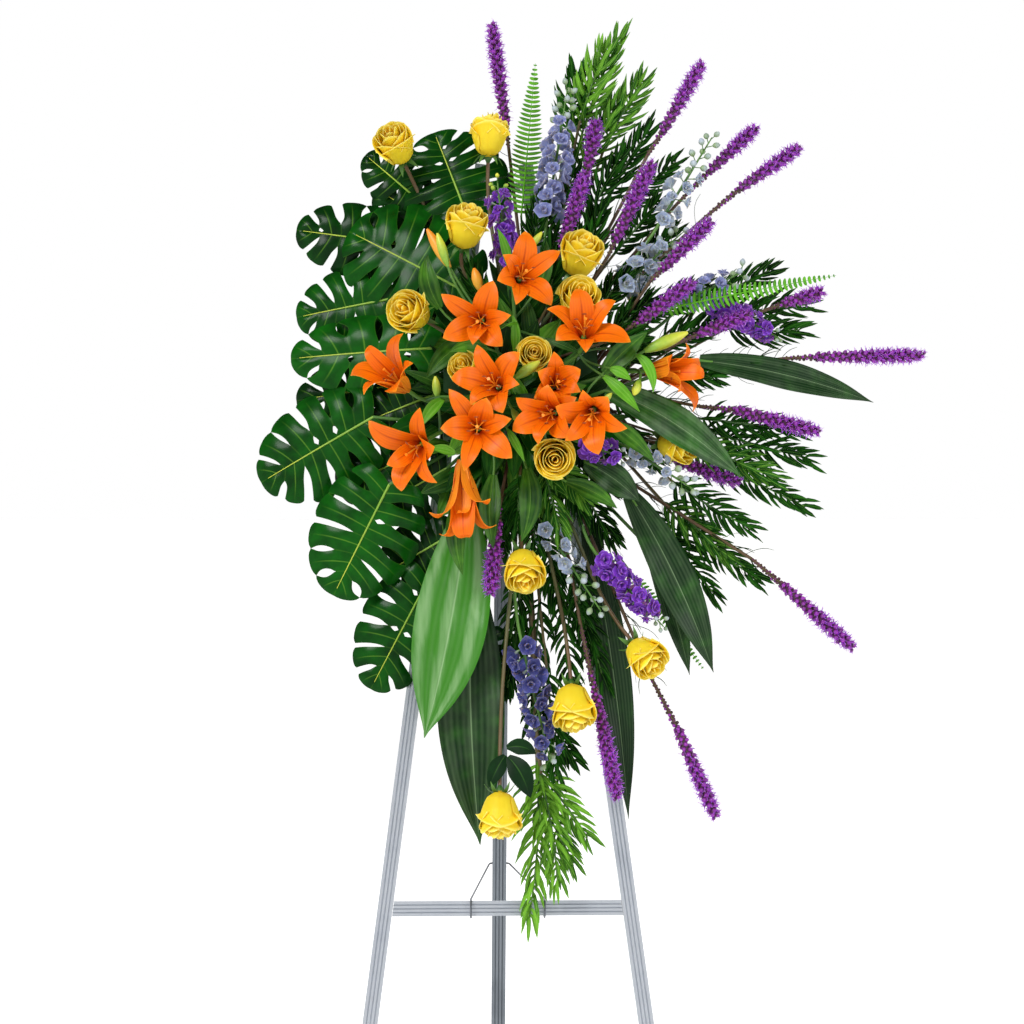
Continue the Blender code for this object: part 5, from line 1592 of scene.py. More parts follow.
@dataclass(frozen=True)
class Liatris(Kind):
    """The violet liatris spikes."""

    stem_radii: Sizes = (0.0026, 0.0026, 0.0026, 0.0024, 0.0012)
    core_radii: Sizes = (0.0026, 0.0050, 0.00425, 0.0020)
    bead_radius: float = 0.0068
    tuft_step: float = 0.0019
    bead_step: float = 0.0021
    beads_past_foot: int = 10
    open_from: float = 0.42
    tuft_parts: tuple[tuple[int, int], ...] = ((0, 1), (2, 2), (4, 2), (5, 3), (6, 3))
    petal_half: float = 0.0017
    needle_half: float = 0.0011
    petal: BladeForm = BladeForm(0.5, 0.45, 1.6, 1.0, 0.1, rows=1, columns=1, thickness=0.0004)
    needle: BladeForm = BladeForm(0.35, 0.6, 1.6, 1.0, 0.1, rows=5, columns=2)

    def tuft(self, rng: Random, petals: int, styles: int) -> Growth:
        """Makes one flower head.

        Args:
            rng: Source of small differences.
            petals: How many narrow petals it has opened.
            styles: How many styles stand out of it.

        Returns:
            The head, which grows along Z.
        """
        made = Growth()
        made.bead(Z_WAY * 0.0015, Z_WAY * 0.0100, 0.0035, (7, 4), "liatris_bud", 0.8)
        for k in range(petals):
            start, way, out = self.crown_way(k, petals, rng)
            tip = start + way * rng.uniform(0.0040, 0.0058)
            side, shade = out.cross(Z_WAY), rng.random()
            made.blade([start, tip], side, self.petal_half, self.petal, "liatris_violet", shade)
        for k in range(styles):
            start, way, out = self.crown_way(k, styles, rng)
            tip = start + way * rng.uniform(0.0056, 0.0076) + out * rng.uniform(0.0, 0.0012)
            made.tube([start, tip], (0.0004, 0.0003), 3, "liatris_style", rng.random())
        return made

    def crown_way(self, k: int, count: int, rng: Random) -> tuple[Vector, Vector, Vector]:
        """Where a petal or style of a head starts, the way it grows, and the way outwards.

        Args:
            k: Its number.
            count: How many there are.
            rng: Source of small differences.

        Returns:
            The start and the two ways.
        """
        lean = math.radians(14 + 58 * (k + 0.5) / count)
        angle = k * GOLDEN_ANGLE + rng.uniform(-0.3, 0.3)
        out = Vector((math.cos(angle), math.sin(angle), 0.0))
        return Z_WAY * 0.0078 + out * 0.0012, Z_WAY * math.cos(lean) + out * math.sin(lean), out

    def plant(self, bunch: Bunch, plan: SpikePlan, rng: Random) -> None:
        """Grows one spike with its stem.

        Args:
            bunch: Its bunch.
            plan: Its places.
            rng: Source of small differences.
        """
        tufts = self.forms.setdefault("tufts", [])
        if not tufts:
            tufts += [self.tuft(rng, *parts) for parts in self.tuft_parts]
        tip, foot, beads = plan.spots()
        leave = bunch.stalk([beads, foot, tip], self.stem_radii, 7, "stem_brown")[1]
        ring = Ring.of(tip - beads)
        count = max(4, round((foot - beads).length / self.bead_step))
        for k in range(count + self.beads_past_foot):
            t = k / count
            self.bead_at(bunch, beads + (foot - beads) * t, ring, k, 0.55 + 0.45 * min(t, 1.0), rng)
        reach = tip - foot
        ring = Ring.of(reach)
        core = [foot - ring.axis * 0.004, foot + reach * 0.12, foot + reach * 0.9, tip]
        bunch.growth.tube(core, self.core_radii, 8, "liatris_closed", 0.6)
        count = round(reach.length / self.tuft_step)
        last = len(tufts) - 1
        for k in range(count):
            t = (k + 0.5) / count
            opened = min(max((t - self.open_from) / 0.3 + rng.uniform(0.1, 0.9), 0.0), 1.0)
            way = ring.spoke(k * GOLDEN_ANGLE) + ring.axis * (0.35 + 0.9 * max(0.0, t - 0.75))
            size = (0.94 + 0.26 * min(1.0, 2.0 * t)) * (1.0 - 0.35 * max(0.0, t - 0.85) / 0.15)
            placing = turned_to(foot + reach * t, way, rng.uniform(0, 6), size)
            kind = min(max(round(opened * last + rng.uniform(-0.4, 0.4)), 0), last)
            bunch.growth.stamp(tufts[kind], placing, rng.uniform(0.2, 0.8))
        self.needles(bunch, leave, beads, plan.needles, rng)

    def bead_at(
        self, bunch: Bunch, spot: Vector, ring: Ring, k: int, size: float, rng: Random
    ) -> None:
        """Grows one closed bud on the beaded part.

        Args:
            bunch: Its bunch.
            spot: The point of the stem that it sits on.
            ring: The ways round the stem.
            k: Its number.
            size: Its size beside a full one.
            rng: Source of small differences.
        """
        out = (ring.spoke(k * GOLDEN_ANGLE) + ring.axis * 0.5).normalized()
        end = spot + out * self.bead_radius * size * rng.uniform(0.95, 1.15)
        finish = "liatris_bud" if rng.random() < size * size - 0.25 else "liatris_closed"
        bunch.growth.bead(spot + out * 0.0014, end, 0.0032 * size, (6, 4), finish, rng.uniform(0.2, 0.8))

    def needles(self, bunch: Bunch, start: Vector, end: Vector, count: int, rng: Random) -> None:
        """Grows thin leaves on the stem below the beads, beside it and towards the viewer.

        Args:
            bunch: Their bunch.
            start: Where the stem leaves the foam.
            end: Where the beads start.
            count: How many there are.
            rng: Source of small differences.
        """
        ring = Ring.of(end - start)
        axis = ring.axis
        for k in range(count):
            angle = k * GOLDEN_ANGLE
            out = ring.facing * max(0.6 * math.cos(angle), -0.1) + ring.side * math.sin(angle)
            spot = start + (end - start) * ((k + 0.5) / count)
            tip = spot + (axis * 0.8 + out * 0.75).normalized() * rng.uniform(0.030, 0.052)
            path = bend(spot, tip, out + axis * 0.6, axis + out * 0.2, self.needle.rows)
            side, shade = axis.cross(out), rng.uniform(0.0, 0.5)
            bunch.growth.blade(path, side, self.needle_half, self.needle, "needle_green", shade)


# Florets on stems


@dataclass(frozen=True)
class FloretPlan(Plan):
    """A stem with florets: its foot and tip, their count, radius and finish, and its share of buds."""

    foot: Place
    tip: Place
    count: int
    spread: float
    finish: str
    buds: float = 0.25
    bud_finish: str = "bud_pale"


# As in FloretPlan
DELPHINIUMS = {
    "delphinium_upper": (
        ((60, 1432, 74), (91, 1628, 70), 40, 0.0172, "delphinium_blue", 0.3),
        ((228, 1425, 84), (308, 1556, 92), 22, 0.0140, "delphinium_pale", 0.45),
        ((170, 1330, 88), (262, 1412, 88), 22, 0.0178, "delphinium_pale", 0.3),
        ((262, 1308, 86), (356, 1356, 90), 16, 0.0130, "delphinium_blue", 0.3),
    ),
    "delphinium_right": (((185, 1090, 118), (282, 1028, 112), 18, 0.0130, "delphinium_pale", 0.45),),
    "delphinium_lower": (
        ((56, 975, 104), (142, 845, 112), 22, 0.0130, "delphinium_pale", 0.5),
        ((22, 800, 84), (66, 618, 78), 28, 0.0180, "delphinium_indigo", 0.1),
    ),
}
STOCKS = {
    "stock_top": (((0, 1362, 118), (-14, 1490, 100), 22, 0.0165, "stock_violet", 0.2, "bud_green"),),
    "stock_right": (((305, 1312, 62), (410, 1256, 58), 18, 0.0180, "stock_violet", 0.15),),
    "stock_lower": (
        ((112, 1098, 154), (176, 1076, 146), 13, 0.0165, "stock_violet", 0.2),
        ((140, 925, 104), (236, 822, 100), 26, 0.0190, "stock_violet", 0.2),
    ),
}


@dataclass(frozen=True)
class FloretForm:
    """Form of a floret of radius 1: its petal, the petal's half width, its curl, and its whorls.

    Each whorl has its count of petals, their reach, and how far their tips stand up.
    """

    petal: BladeForm
    half_width: float
    curl: float
    whorls: tuple[tuple[int, float, float], ...]


@dataclass(frozen=True)
class FloretStems(Kind):
    """Stems with open florets and, towards their tips, buds."""

    reach: float
    bud_radius: float
    form: FloretForm
    stem_radius: float = 0.0024
    kinds: int = 3

    def floret(self, finish: str, rng: Random) -> Growth:
        """Makes one floret of radius 1.

        Args:
            finish: Name of its petals' finish.
            rng: Source of small differences.

        Returns:
            The floret, which faces along Z.
        """
        made = Growth()
        form = self.form
        for k, (count, reach, lift) in enumerate(form.whorls):
            for petal in range(count):
                angle = FULL_TURN * (petal + 0.4 * k) / count + rng.uniform(-0.15, 0.15)
                out = Vector((math.cos(angle), math.sin(angle), 0.0))
                tip = out * reach * rng.uniform(0.9, 1.08) + Z_WAY * lift * rng.uniform(0.8, 1.2)
                path = bend(out * 0.10, tip, out + Z_WAY * 1.2, out + Z_WAY * form.curl, form.petal.rows)
                half, shade, phase = reach * form.half_width, rng.uniform(0.2, 0.8), rng.uniform(0, 6)
                made.blade(path, out.cross(Z_WAY), half, form.petal, finish, shade, phase)
        made.tube([Z_WAY * d for d in (-0.55, -0.2, 0.02)], (0.05, 0.12, 0.14), 6, "bud_pale")
        return made

    def plant(self, bunch: Bunch, plan: FloretPlan, rng: Random) -> None:
        """Grows one stem with its florets.

        Args:
            bunch: Its bunch.
            plan: Its places and florets.
            rng: Source of small differences.
        """
        if plan.finish not in self.forms:
            self.forms[plan.finish] = [self.floret(plan.finish, rng) for _ in range(self.kinds)]
        florets = self.forms[plan.finish]
        foot, tip = plan.spots()
        reach = tip - foot
        ring = Ring.of(reach)
        axis = ring.axis
        bunch.stem(foot + axis * 0.004, axis, (self.stem_radius, self.stem_radius), "stem_green")
        radii = (self.stem_radius, 0.0020, 0.0010)
        bunch.growth.tube([foot, foot + reach * 0.5, tip], radii, 7, "stem_green")
        for k in range(plan.count):
            t = (k + 0.5) / plan.count
            way = ring.spoke(k * GOLDEN_ANGLE) + axis * (0.25 + 0.5 * t) + ring.side * rng.uniform(-0.3, 0.3)
            way.normalize()
            spot = foot + reach * t
            if t > 1.0 - plan.buds:
                end = spot + way * (self.reach + 0.006 * (1 - t))
                bunch.growth.tube([spot, end], (0.0007, 0.0007), 5, "stem_green")
                size, bud_tip = self.bud_radius * (1.25 - 0.5 * t), end + way * self.bud_radius * 2.0
                bunch.growth.bead(end, bud_tip, size, (8, 6), plan.bud_finish, rng.random())
                continue
            size = plan.spread * (1.0 - 0.30 * t) * rng.uniform(0.78, 1.10)
            end = spot + way * self.reach * rng.uniform(0.7, 1.9)
            bunch.growth.tube([spot, end - way * size * 0.2], (0.0008, 0.0008), 5, "stem_green")
            bunch.growth.stamp(florets[k % len(florets)], turned_to(end, way, rng.uniform(0, 6), size))


ROUND_FLORET = FloretForm(
    petal=BladeForm(0.58, 0.40, 2.6, 0.55, 0.30, 0.0, 0.05, 2.0, 4, 3, 0.03),
    half_width=0.60,
    curl=0.5,
    whorls=((5, 0.95, 0.62), (3, 0.4, 0.9)),
)
RUFFLED_FLORET = FloretForm(
    petal=BladeForm(0.68, 0.30, 3.0, 0.5, 0.10, 0.0, 0.32, 2.5, 4, 4, 0.03),
    half_width=0.52,
    curl=0.1,
    whorls=((4, 0.95, 0.10), (4, 0.66, 0.48), (3, 0.40, 0.78)),
)


# Large leaves


@dataclass(frozen=True)
class MonsteraPlan(Plan):
    """A monstera leaf: its stalk's joint, its tip, its half width in millimetres, droop and lightness."""

    base: Place
    tip: Place
    half_width: float
    droop: float
    shade: float


# As in MonsteraPlan
MONSTERAS = {
    "monstera_upper": (
        ((-60, 1440, 52), (-109, 1566, 34), 84, 0.06, 0.3),
        ((-125, 1455, 26), (-212, 1530, 22), 42, 0.05, 0.2),
        ((-67, 1327, 84), (-239, 1419, 52), 96, 0.08, 0.45),
        ((-160, 1395, 34), (-316, 1418, 24), 56, 0.06, 0.2),
        ((-150, 1318, 56), (-318, 1288, 34), 62, 0.10, 0.4),
        ((-112, 1240, 84), (-328, 1228, 60), 58, 0.12, 0.6),
        ((-130, 1190, 34), (-320, 1164, 6), 54, 0.12, 0.2),
        ((-96, 1280, 60), (-226, 1330, 44), 62, 0.10, 0.15),
        ((-70, 1400, 30), (-196, 1480, 20), 58, 0.06, 0.2),
        ((-110, 1170, 60), (-214, 1130, 50), 54, 0.10, 0.15),
    ),
    "monstera_lower_left": (
        ((-200, 1137, 62), (-372, 1040, 40), 76, 0.12, 0.45),
        ((-176, 1036, 84), (-262, 868, 60), 80, 0.10, 0.5),
        ((-140, 1080, 44), (-256, 1030, 24), 60, 0.10, 0.15),
        ((-118, 892, 42), (-206, 727, 22), 66, 0.10, 0.4),
        ((-40, 812, 44), (-34, 690, 30), 54, 0.06, 0.1),
        ((-90, 1060, 60), (-196, 1000, 44), 52, 0.10, 0.15),
        ((-84, 960, 46), (-190, 900, 30), 50, 0.10, 0.15),
    ),
}


@dataclass(frozen=True)
class FlatLeaf:
    """A leaf's own directions and sizes. Places on it are given along its midrib and out from it."""

    base: Vector
    along: Vector
    side: Vector
    face: Vector
    length: float
    half: float
    droop: float

    @classmethod
    def of(cls, base: Vector, tip: Vector, half: float, droop: float) -> FlatLeaf:
        """The leaf between two points.

        Args:
            base: Where its stalk joins.
            tip: Its tip.
            half: Its half width.
            droop: How far its tip hangs, beside its length.

        Returns:
            The leaf, which faces the viewer.
        """
        along = (tip - base).normalized()
        face = (STAND.front - along * STAND.front.dot(along)).normalized()
        return cls(base, along, face.cross(along), face, (tip - base).length, half, droop)

    def lifted(self, x: np.ndarray, y: np.ndarray, more: np.ndarray | float) -> np.ndarray:
        """Points of the curved blade over flat places.

        Args:
            x: How far along the midrib.
            y: How far out from it.
            more: What is added to the blade's height.

        Returns:
            The points.
        """
        fall = self.droop * self.length * (x / self.length) ** 2
        z = np.abs(y) * 0.10 - fall - 0.315 * y * y / self.half + more
        origin, along, side, face = (np.array(v) for v in (self.base, self.along, self.side, self.face))
        return origin + x[..., None] * along + y[..., None] * side + z[..., None] * face


@dataclass(frozen=True)
class Monsteras(Kind):
    """The cut monstera leaves on their stalks."""

    stalk_radii: Sizes = (0.0030, 0.0030, 0.00255, 0.0021)
    stalk_inside: float = 0.012
    lobes: int = 6
    wide_leaf: float = 0.06
    columns: int = 8
    rows: int = 16
    closed_share: float = 0.35
    holed_from: float = 0.62
    thickness: float = 0.0007
    weld: float = 0.00005

    def plant(self, bunch: Bunch, plan: MonsteraPlan, rng: Random) -> None:
        """Grows one leaf with its stalk and its raised midrib.

        The blade's bands go from the midrib to the edge, and part at holes and at the slits between lobes.

        Args:
            bunch: Its bunch.
            plan: Its places and sizes.
            rng: Source of small differences.
        """
        base, tip = plan.spots()
        leaf = FlatLeaf.of(base, tip, plan.half_width * MM, plan.droop)
        bunch.stalk([base, base + leaf.along * self.stalk_inside], self.stalk_radii, 8, "stem_green")
        q = np.linspace(-1.0, 1.0, self.columns + 1)[None, :]
        t = np.linspace(0.0, 1.0, self.rows + 1)[:, None]
        sheets = []
        lobes = self.lobes if leaf.half > self.wide_leaf else self.lobes - 1
        for hand in (-1, 1):
            partings = [self.parting(t, rng, 0 < k < lobes, leaf.half) for k in range(lobes + 1)]
            for lobe in range(lobes):
                parting = np.where(q < 0, partings[lobe], partings[lobe + 1])
                share = (lobe + 0.5 + 0.5 * q * (1 - parting * np.abs(q) ** 0.5)) / lobes
                share = np.clip(share, 0.0, 1.0)
                reach = t * (1 - 0.07 * np.abs(q) ** 3)
                turn = math.radians(150) * (1 - share) ** 0.92
                edge_x = leaf.length * 0.42 + leaf.length * 0.58 * np.cos(turn)
                edge_y = leaf.half * np.sin(turn) * (1 + 0.05 * (1 - share))
                rib_x = leaf.length * 0.93 * share
                mid_x = rib_x + (edge_x - rib_x) * 0.42 - leaf.length * 0.05 * (1 - share)
                mid_y = edge_y * 0.58
                x = (1 - reach) ** 2 * rib_x + 2 * reach * (1 - reach) * mid_x + reach**2 * edge_x
                y = 2 * reach * (1 - reach) * mid_y + reach**2 * edge_y
                swell = 0.0026 * (1 - q * q) * np.sin(np.pi * np.minimum(reach, 1.0)) - 0.0035 * reach**5
                quads = grid_quads(*x.shape)[:, ::hand]
                points = leaf.lifted(x, y * hand, swell).reshape(-1, 3)
                sheets.append((points, marked(reach, q, plan.shade), quads))
        bunch.growth.skin(*self.welded(sheets), self.thickness, "monstera_green")
        x = np.linspace(0.0, 0.93 * leaf.length, 14)
        rib = [Vector(p) for p in leaf.lifted(x, np.zeros_like(x), 0.0006)]
        bunch.growth.tube(rib, np.linspace(0.0022, 0.0005, len(rib)), 6, "bud_green", 0.2)

    def parting(self, t: np.ndarray, rng: Random, parted: bool, half: float) -> np.ndarray:
        """How far two neighbouring lobes stand apart.

        Args:
            t: Shares of the way from the midrib to the edge.
            rng: Source of the slit's kind and size.
            parted: Whether there is a slit at all.
            half: Half the leaf's width.

        Returns:
            The gap beside half a lobe's width, at each share.
        """
        slit, gap, kind = rng.uniform(0.18, 0.50), rng.uniform(0.14, 0.38), rng.random()
        if not parted:
            return np.zeros_like(t)
        past = np.clip((t - slit) / (1 - slit), 0, 1)
        if kind < self.closed_share:
            found = gap * np.sin(np.pi * np.clip(past / 0.94, 0, 1)) ** 0.7
        else:
            found = gap * np.sin(np.pi / 2 * np.clip(past / 0.45, 0, 1)) ** 0.7
        if kind > self.holed_from and half > 0.05 and slit > 0.32:
            found = found + 0.36 * np.exp(-(((t - 0.15) / 0.04) ** 2))
        return found

    def welded(
        self, sheets: Sequence[tuple[np.ndarray, np.ndarray, np.ndarray]]
    ) -> tuple[np.ndarray, np.ndarray, np.ndarray]:
        """Joins bands where their edges meet.

        Args:
            sheets: The points, marks and quads of each band.

        Returns:
            The points, marks and quads of the whole blade.
        """
        starts = np.cumsum([0] + [len(points) for points, _, _ in sheets[:-1]])
        points = np.concatenate([points for points, _, _ in sheets])
        marks = np.concatenate([marks for _, marks, _ in sheets])
        marks[:, 1] = np.abs(marks[:, 1])
        quads = np.concatenate([quads + start for (_, _, quads), start in zip(sheets, starts)])
        keys = np.round(points / self.weld).astype(np.int64)
        _, first, index = np.unique(keys, axis=0, return_index=True, return_inverse=True)
        quads = index.reshape(-1)[quads]
        whole = np.array([len(set(quad)) == 4 for quad in quads.tolist()])
        return points[first], marks[first], quads[whole]


# As in BladePlan
ASPIDISTRAS = {
    "greens_low": (((121, 975, 28), (165, 780, 28), (184, 531, 20), 26, 0.0),),
    "aspidistra_front": (
        ((-62, 985, 104), (-76, 830, 112), (-124, 655, 88), 54, 1.0),
        ((-52, 880, 70), (-62, 690, 68), (-40, 493, 48), 50, 0.15),
    ),
    "aspidistra_right": (
        ((290, 1222, 78), (420, 1210, 74), (553, 1159, 52), 22, 0.1),
        ((149, 1177, 150), (240, 1150, 146), (353, 1048, 110), 27, 0.35),
        ((118, 1069, 128), (165, 1048, 128), (200, 1010, 116), 22, 0.2),
    ),
    "aspidistra_lower": (
        ((185, 1020, 92), (262, 900, 98), (312, 752, 74), 30, 0.1),
        ((215, 940, 62), (255, 850, 64), (276, 748, 52), 17, 0.1),
    ),
}


@dataclass(frozen=True)
class Aspidistras(Kind):
    """The long lance-shaped leaves."""

    stalk_radii: Sizes = (0.0030, 0.0030, 0.0024, 0.0015)
    stalk_inside: float = 0.02
    rows: int = 34
    columns: int = 14
    thickness: float = 0.0007

    def plant(self, bunch: Bunch, plan: BladePlan, rng: Random) -> None:
        """Grows one leaf with its stalk, folded along its rib and waved along its edges.

        Args:
            bunch: Its bunch.
            plan: Its places and sizes.
            rng: Not used.
        """
        foot, middle, tip = plan.spots()
        inside = foot + (middle - foot).normalized() * self.stalk_inside
        bunch.stalk([foot, inside], self.stalk_radii, 8, "stem_green")
        path = bend(foot, tip, middle - foot, tip - middle, self.rows, 0.33)
        _, facing, side = (np.array(ways)[:, None] for ways in zip(*frames(path)))
        half = plan.half_width * MM
        x = np.linspace(-1.0, 1.0, self.columns + 1)[None, :]
        t = np.arange(self.rows + 1)[:, None] / self.rows
        wide = half * np.maximum(np.sin(math.pi * (t * 0.86 + 0.10)) ** 0.8 * (1 - t**9), 0.01)
        wave = 0.10 * half * np.sin(15.6 * t)
        lift = 0.16 * half * np.abs(x) - wave * x + 0.0008 * np.cos(x * 22.0) * (1 - t**4)
        points = np.array(path)[:, None] + (x * wide)[..., None] * side
        points = points + (lift * wide / half)[..., None] * facing
        bunch.growth.sheet(points, (t, x, plan.shade), self.thickness, "aspidistra_green")


@dataclass(frozen=True)
class Collar:
    """The dark leaves between the flowers, which hide the foam and the bare stems."""

    count: int = 140
    middle: tuple[float, float] = (12.0, 1160.0)
    half_width: float = 200.0
    half_height: float = 225.0
    leaf_length: float = 88.0
    stalk_radius: float = 0.0015
    stalk_straight: float = 0.02
    broad_share: float = 0.45
    broad_half: tuple[float, float] = (0.014, 0.019)
    lance_half: tuple[float, float] = (0.008, 0.012)
    nodes: tuple[str, ...] = (
        "lily_stems", "rose_stems_upper", "rose_stems_lower", "monstera_upper", "monstera_lower_left",
        "aspidistra_right", "greens_top", "podocarpus_right", "greens_low",
    )
    finishes: tuple[str, ...] = ("collar_green", "collar_green", "lily_leaf_green", "monstera_green")
    lance: BladeForm = BladeForm(0.42, 0.30, 1.8, 1.0, 0.25, 0.0, 0.04, 2.0, 8, 4, 0.0006)
    broad: BladeForm = BladeForm(0.45, 0.25, 2.4, 0.9, 0.16, 0.0, 0.06, 2.0, 8, 4, 0.0006)

    def nearest(self, spray: Spray, foot: Vector) -> Bunch:
        """The bunch whose root points nearest to a leaf's foot.

        Args:
            spray: The spray that holds the bunches.
            foot: The leaf's foot.

        Returns:
            The bunch.
        """
        way = (foot - STAND.heart).normalized()
        bunches = (spray.bunches[node] for node in self.nodes)
        return max(bunches, key=lambda bunch: (bunch.root - STAND.heart).normalized().dot(way))

    def grow(self, spray: Spray) -> None:
        """Grows every leaf on a stalk of its own.

        Args:
            spray: The spray that they join.
        """
        rng = Random(31)
        for k in range(self.count):
            share = math.sqrt((k + 0.5) / self.count)
            angle = k * GOLDEN_ANGLE + rng.uniform(-0.2, 0.2)
            across = self.middle[0] + self.half_width * share * math.cos(angle)
            height = self.middle[1] + self.half_height * share * math.sin(angle)
            length = self.leaf_length * rng.uniform(0.75, 1.15)
            angle += rng.uniform(-0.35, 0.35)
            out = rng.uniform(112, 136) - 72 * share**2
            tip = STAND.seen((across, height, out + rng.uniform(4, 26)))
            right, up = math.cos(angle) * length, math.sin(angle) * length
            foot = STAND.seen((across - right, height - up, out - 8))
            bunch = self.nearest(spray, foot)
            bunch.stalk([foot], [self.stalk_radius] * 3, 6, "stem_green", self.stalk_straight)
            broad = rng.random() < self.broad_share
            form = self.broad if broad else self.lance
            way = tip - foot
            path = bend(foot, tip, way + STAND.front * 0.03, way - STAND.front * 0.03, form.rows)
            side = way.cross(STAND.front).normalized()
            half = rng.uniform(*(self.broad_half if broad else self.lance_half)) * length / self.leaf_length
            finish = self.finishes[k % len(self.finishes)]
            bunch.growth.blade(path, side, half, form, finish, rng.uniform(0.0, 0.7), rng.uniform(0, 6))


# Fine greens


@dataclass(frozen=True)
class ShootPlan(Plan):
    """A leafy shoot: its foot and tip, and its leaves' length in millimetres, count, shade and finish."""

    foot: Place
    tip: Place
    leaf: float
    leaves: int
    shade: float = 0.4
    finish: str = "needle_green"


# As in ShootPlan
SHOOTS = {
    "greens_top": (
        ((100, 1515, 24), (184, 1745, 14), 56, 52, 0.35, "needle_light"),
        ((150, 1550, 24), (222, 1672, 14), 50, 38, 0.25, "needle_light"),
        ((92, 1560, 14), (110, 1692, 8), 52, 34, 0.6),
        ((110, 1580, 34), (160, 1722, 26), 58, 34, 0.5, "needle_light"),
        ((112, 1500, 30), (176, 1640, 24), 58, 36, 0.2, "needle_light"),
        ((150, 1462, 22), (232, 1598, 14), 48, 40),
        ((178, 1450, 14), (276, 1540, 6), 40, 34),
        ((120, 1420, 60), (186, 1560, 40), 46, 40),
        ((70, 1400, 44), (110, 1540, 30), 46, 40),
        ((40, 1390, 70), (62, 1500, 60), 44, 34),
        ((120, 1370, 84), (150, 1480, 80), 44, 36),
        ((90, 1340, 96), (112, 1440, 92), 40, 32, 0.6),
        ((160, 1380, 50), (246, 1486, 46), 42, 38),
        ((190, 1350, 40), (270, 1440, 30), 42, 38, 0.3),
        ((130, 1290, 96), (200, 1376, 92), 42, 36, 0.2),
        ((60, 1330, 90), (74, 1430, 84), 42, 34, 0.2),
    ),
    "podocarpus_right": (
        ((290, 1305, 0), (430, 1375, -14), 46, 36),
        ((320, 1286, -10), (492, 1312, -24), 54, 36),
        ((330, 1270, 30), (482, 1268, 16), 52, 34),
        ((230, 1300, 60), (330, 1350, 50), 44, 38),
        ((230, 1250, 50), (360, 1300, 40), 46, 40),
        ((220, 1215, 70), (350, 1190, 60), 46, 38),
        ((170, 1290, 80), (260, 1300, 76), 42, 34),
        ((140, 1250, 96), (240, 1336, 90), 44, 36, 0.2),
        ((150, 1225, 90), (250, 1246, 84), 42, 34, 0.2),
        ((160, 1160, 80), (280, 1140, 70), 44, 36, 0.2),
        ((160, 1120, 70), (250, 1050, 60), 44, 38, 0.2),
        ((290, 1120, 30), (494, 1064, 14), 52, 46, 0.5),
        ((290, 1135, 60), (478, 1112, 40), 48, 40),
        ((280, 1095, 50), (440, 1030, 36), 50, 42, 0.0, "needle_light"),
        ((270, 1085, 18), (486, 985, 0), 50, 48, 0.5),
        ((250, 1040, 50), (400, 950, 30), 48, 42, 0.5),
        ((255, 985, 18), (408, 870, 2), 48, 42),
        ((235, 1010, 40), (360, 900, 24), 46, 40, 0.0, "needle_light"),
        ((235, 965, 8), (336, 842, -6), 46, 36),
        ((200, 1000, 30), (290, 870, 14), 44, 38),
    ),
    "greens_low": (
        ((50, 870, 30), (32, 640, 26), 46, 46),
        ((80, 880, 34), (104, 650, 30), 44, 46),
        ((24, 900, 44), (-4, 760, 40), 44, 38),
        ((60, 960, 60), (84, 820, 50), 46, 40),
        ((96, 920, 40), (134, 760, 34), 46, 42),
        ((112, 860, 30), (158, 700, 26), 44, 40),
        ((20, 840, 30), (-6, 690, 28), 44, 36),
        ((60, 760, 50), (78, 560, 44), 48, 42, 0.6),
        ((50, 700, 30), (122, 590, 26), 44, 32),
        ((46, 620, 40), (32, 336, 36), 56, 56, 0.6, "needle_light"),
        ((50, 600, 50), (84, 390, 46), 54, 44, 0.6, "needle_light"),
        ((52, 600, 42), (146, 470, 40), 50, 30, 0.5, "needle_light"),
        ((48, 560, 30), (118, 430, 28), 46, 30, 0.3, "needle_light"),
    ),
    "rose_stems_lower": (
        ((66, 1075, 130), (140, 985, 126), 44, 30, 0.2, "needle_light"),
        ((56, 1060, 120), (92, 930, 112), 48, 34, 0.1, "needle_light"),
        ((20, 1050, 120), (14, 930, 110), 44, 34, 0.6),
        ((40, 1010, 100), (40, 880, 90), 44, 36),
        ((100, 1090, 100), (176, 1000, 90), 44, 36, 0.2),
        ((80, 1070, 110), (126, 960, 100), 44, 36, 0.3),
        ((110, 1040, 70), (180, 920, 60), 46, 38, 0.2),
        ((-6, 1010, 100), (-12, 900, 92), 40, 32),
    ),
    "rose_stems_upper": (
        ((60, 1300, 110), (84, 1400, 112), 42, 34),
        ((-30, 1290, 110), (-66, 1390, 106), 42, 32),
        ((150, 1250, 120), (230, 1262, 122), 38, 30),
    ),
}


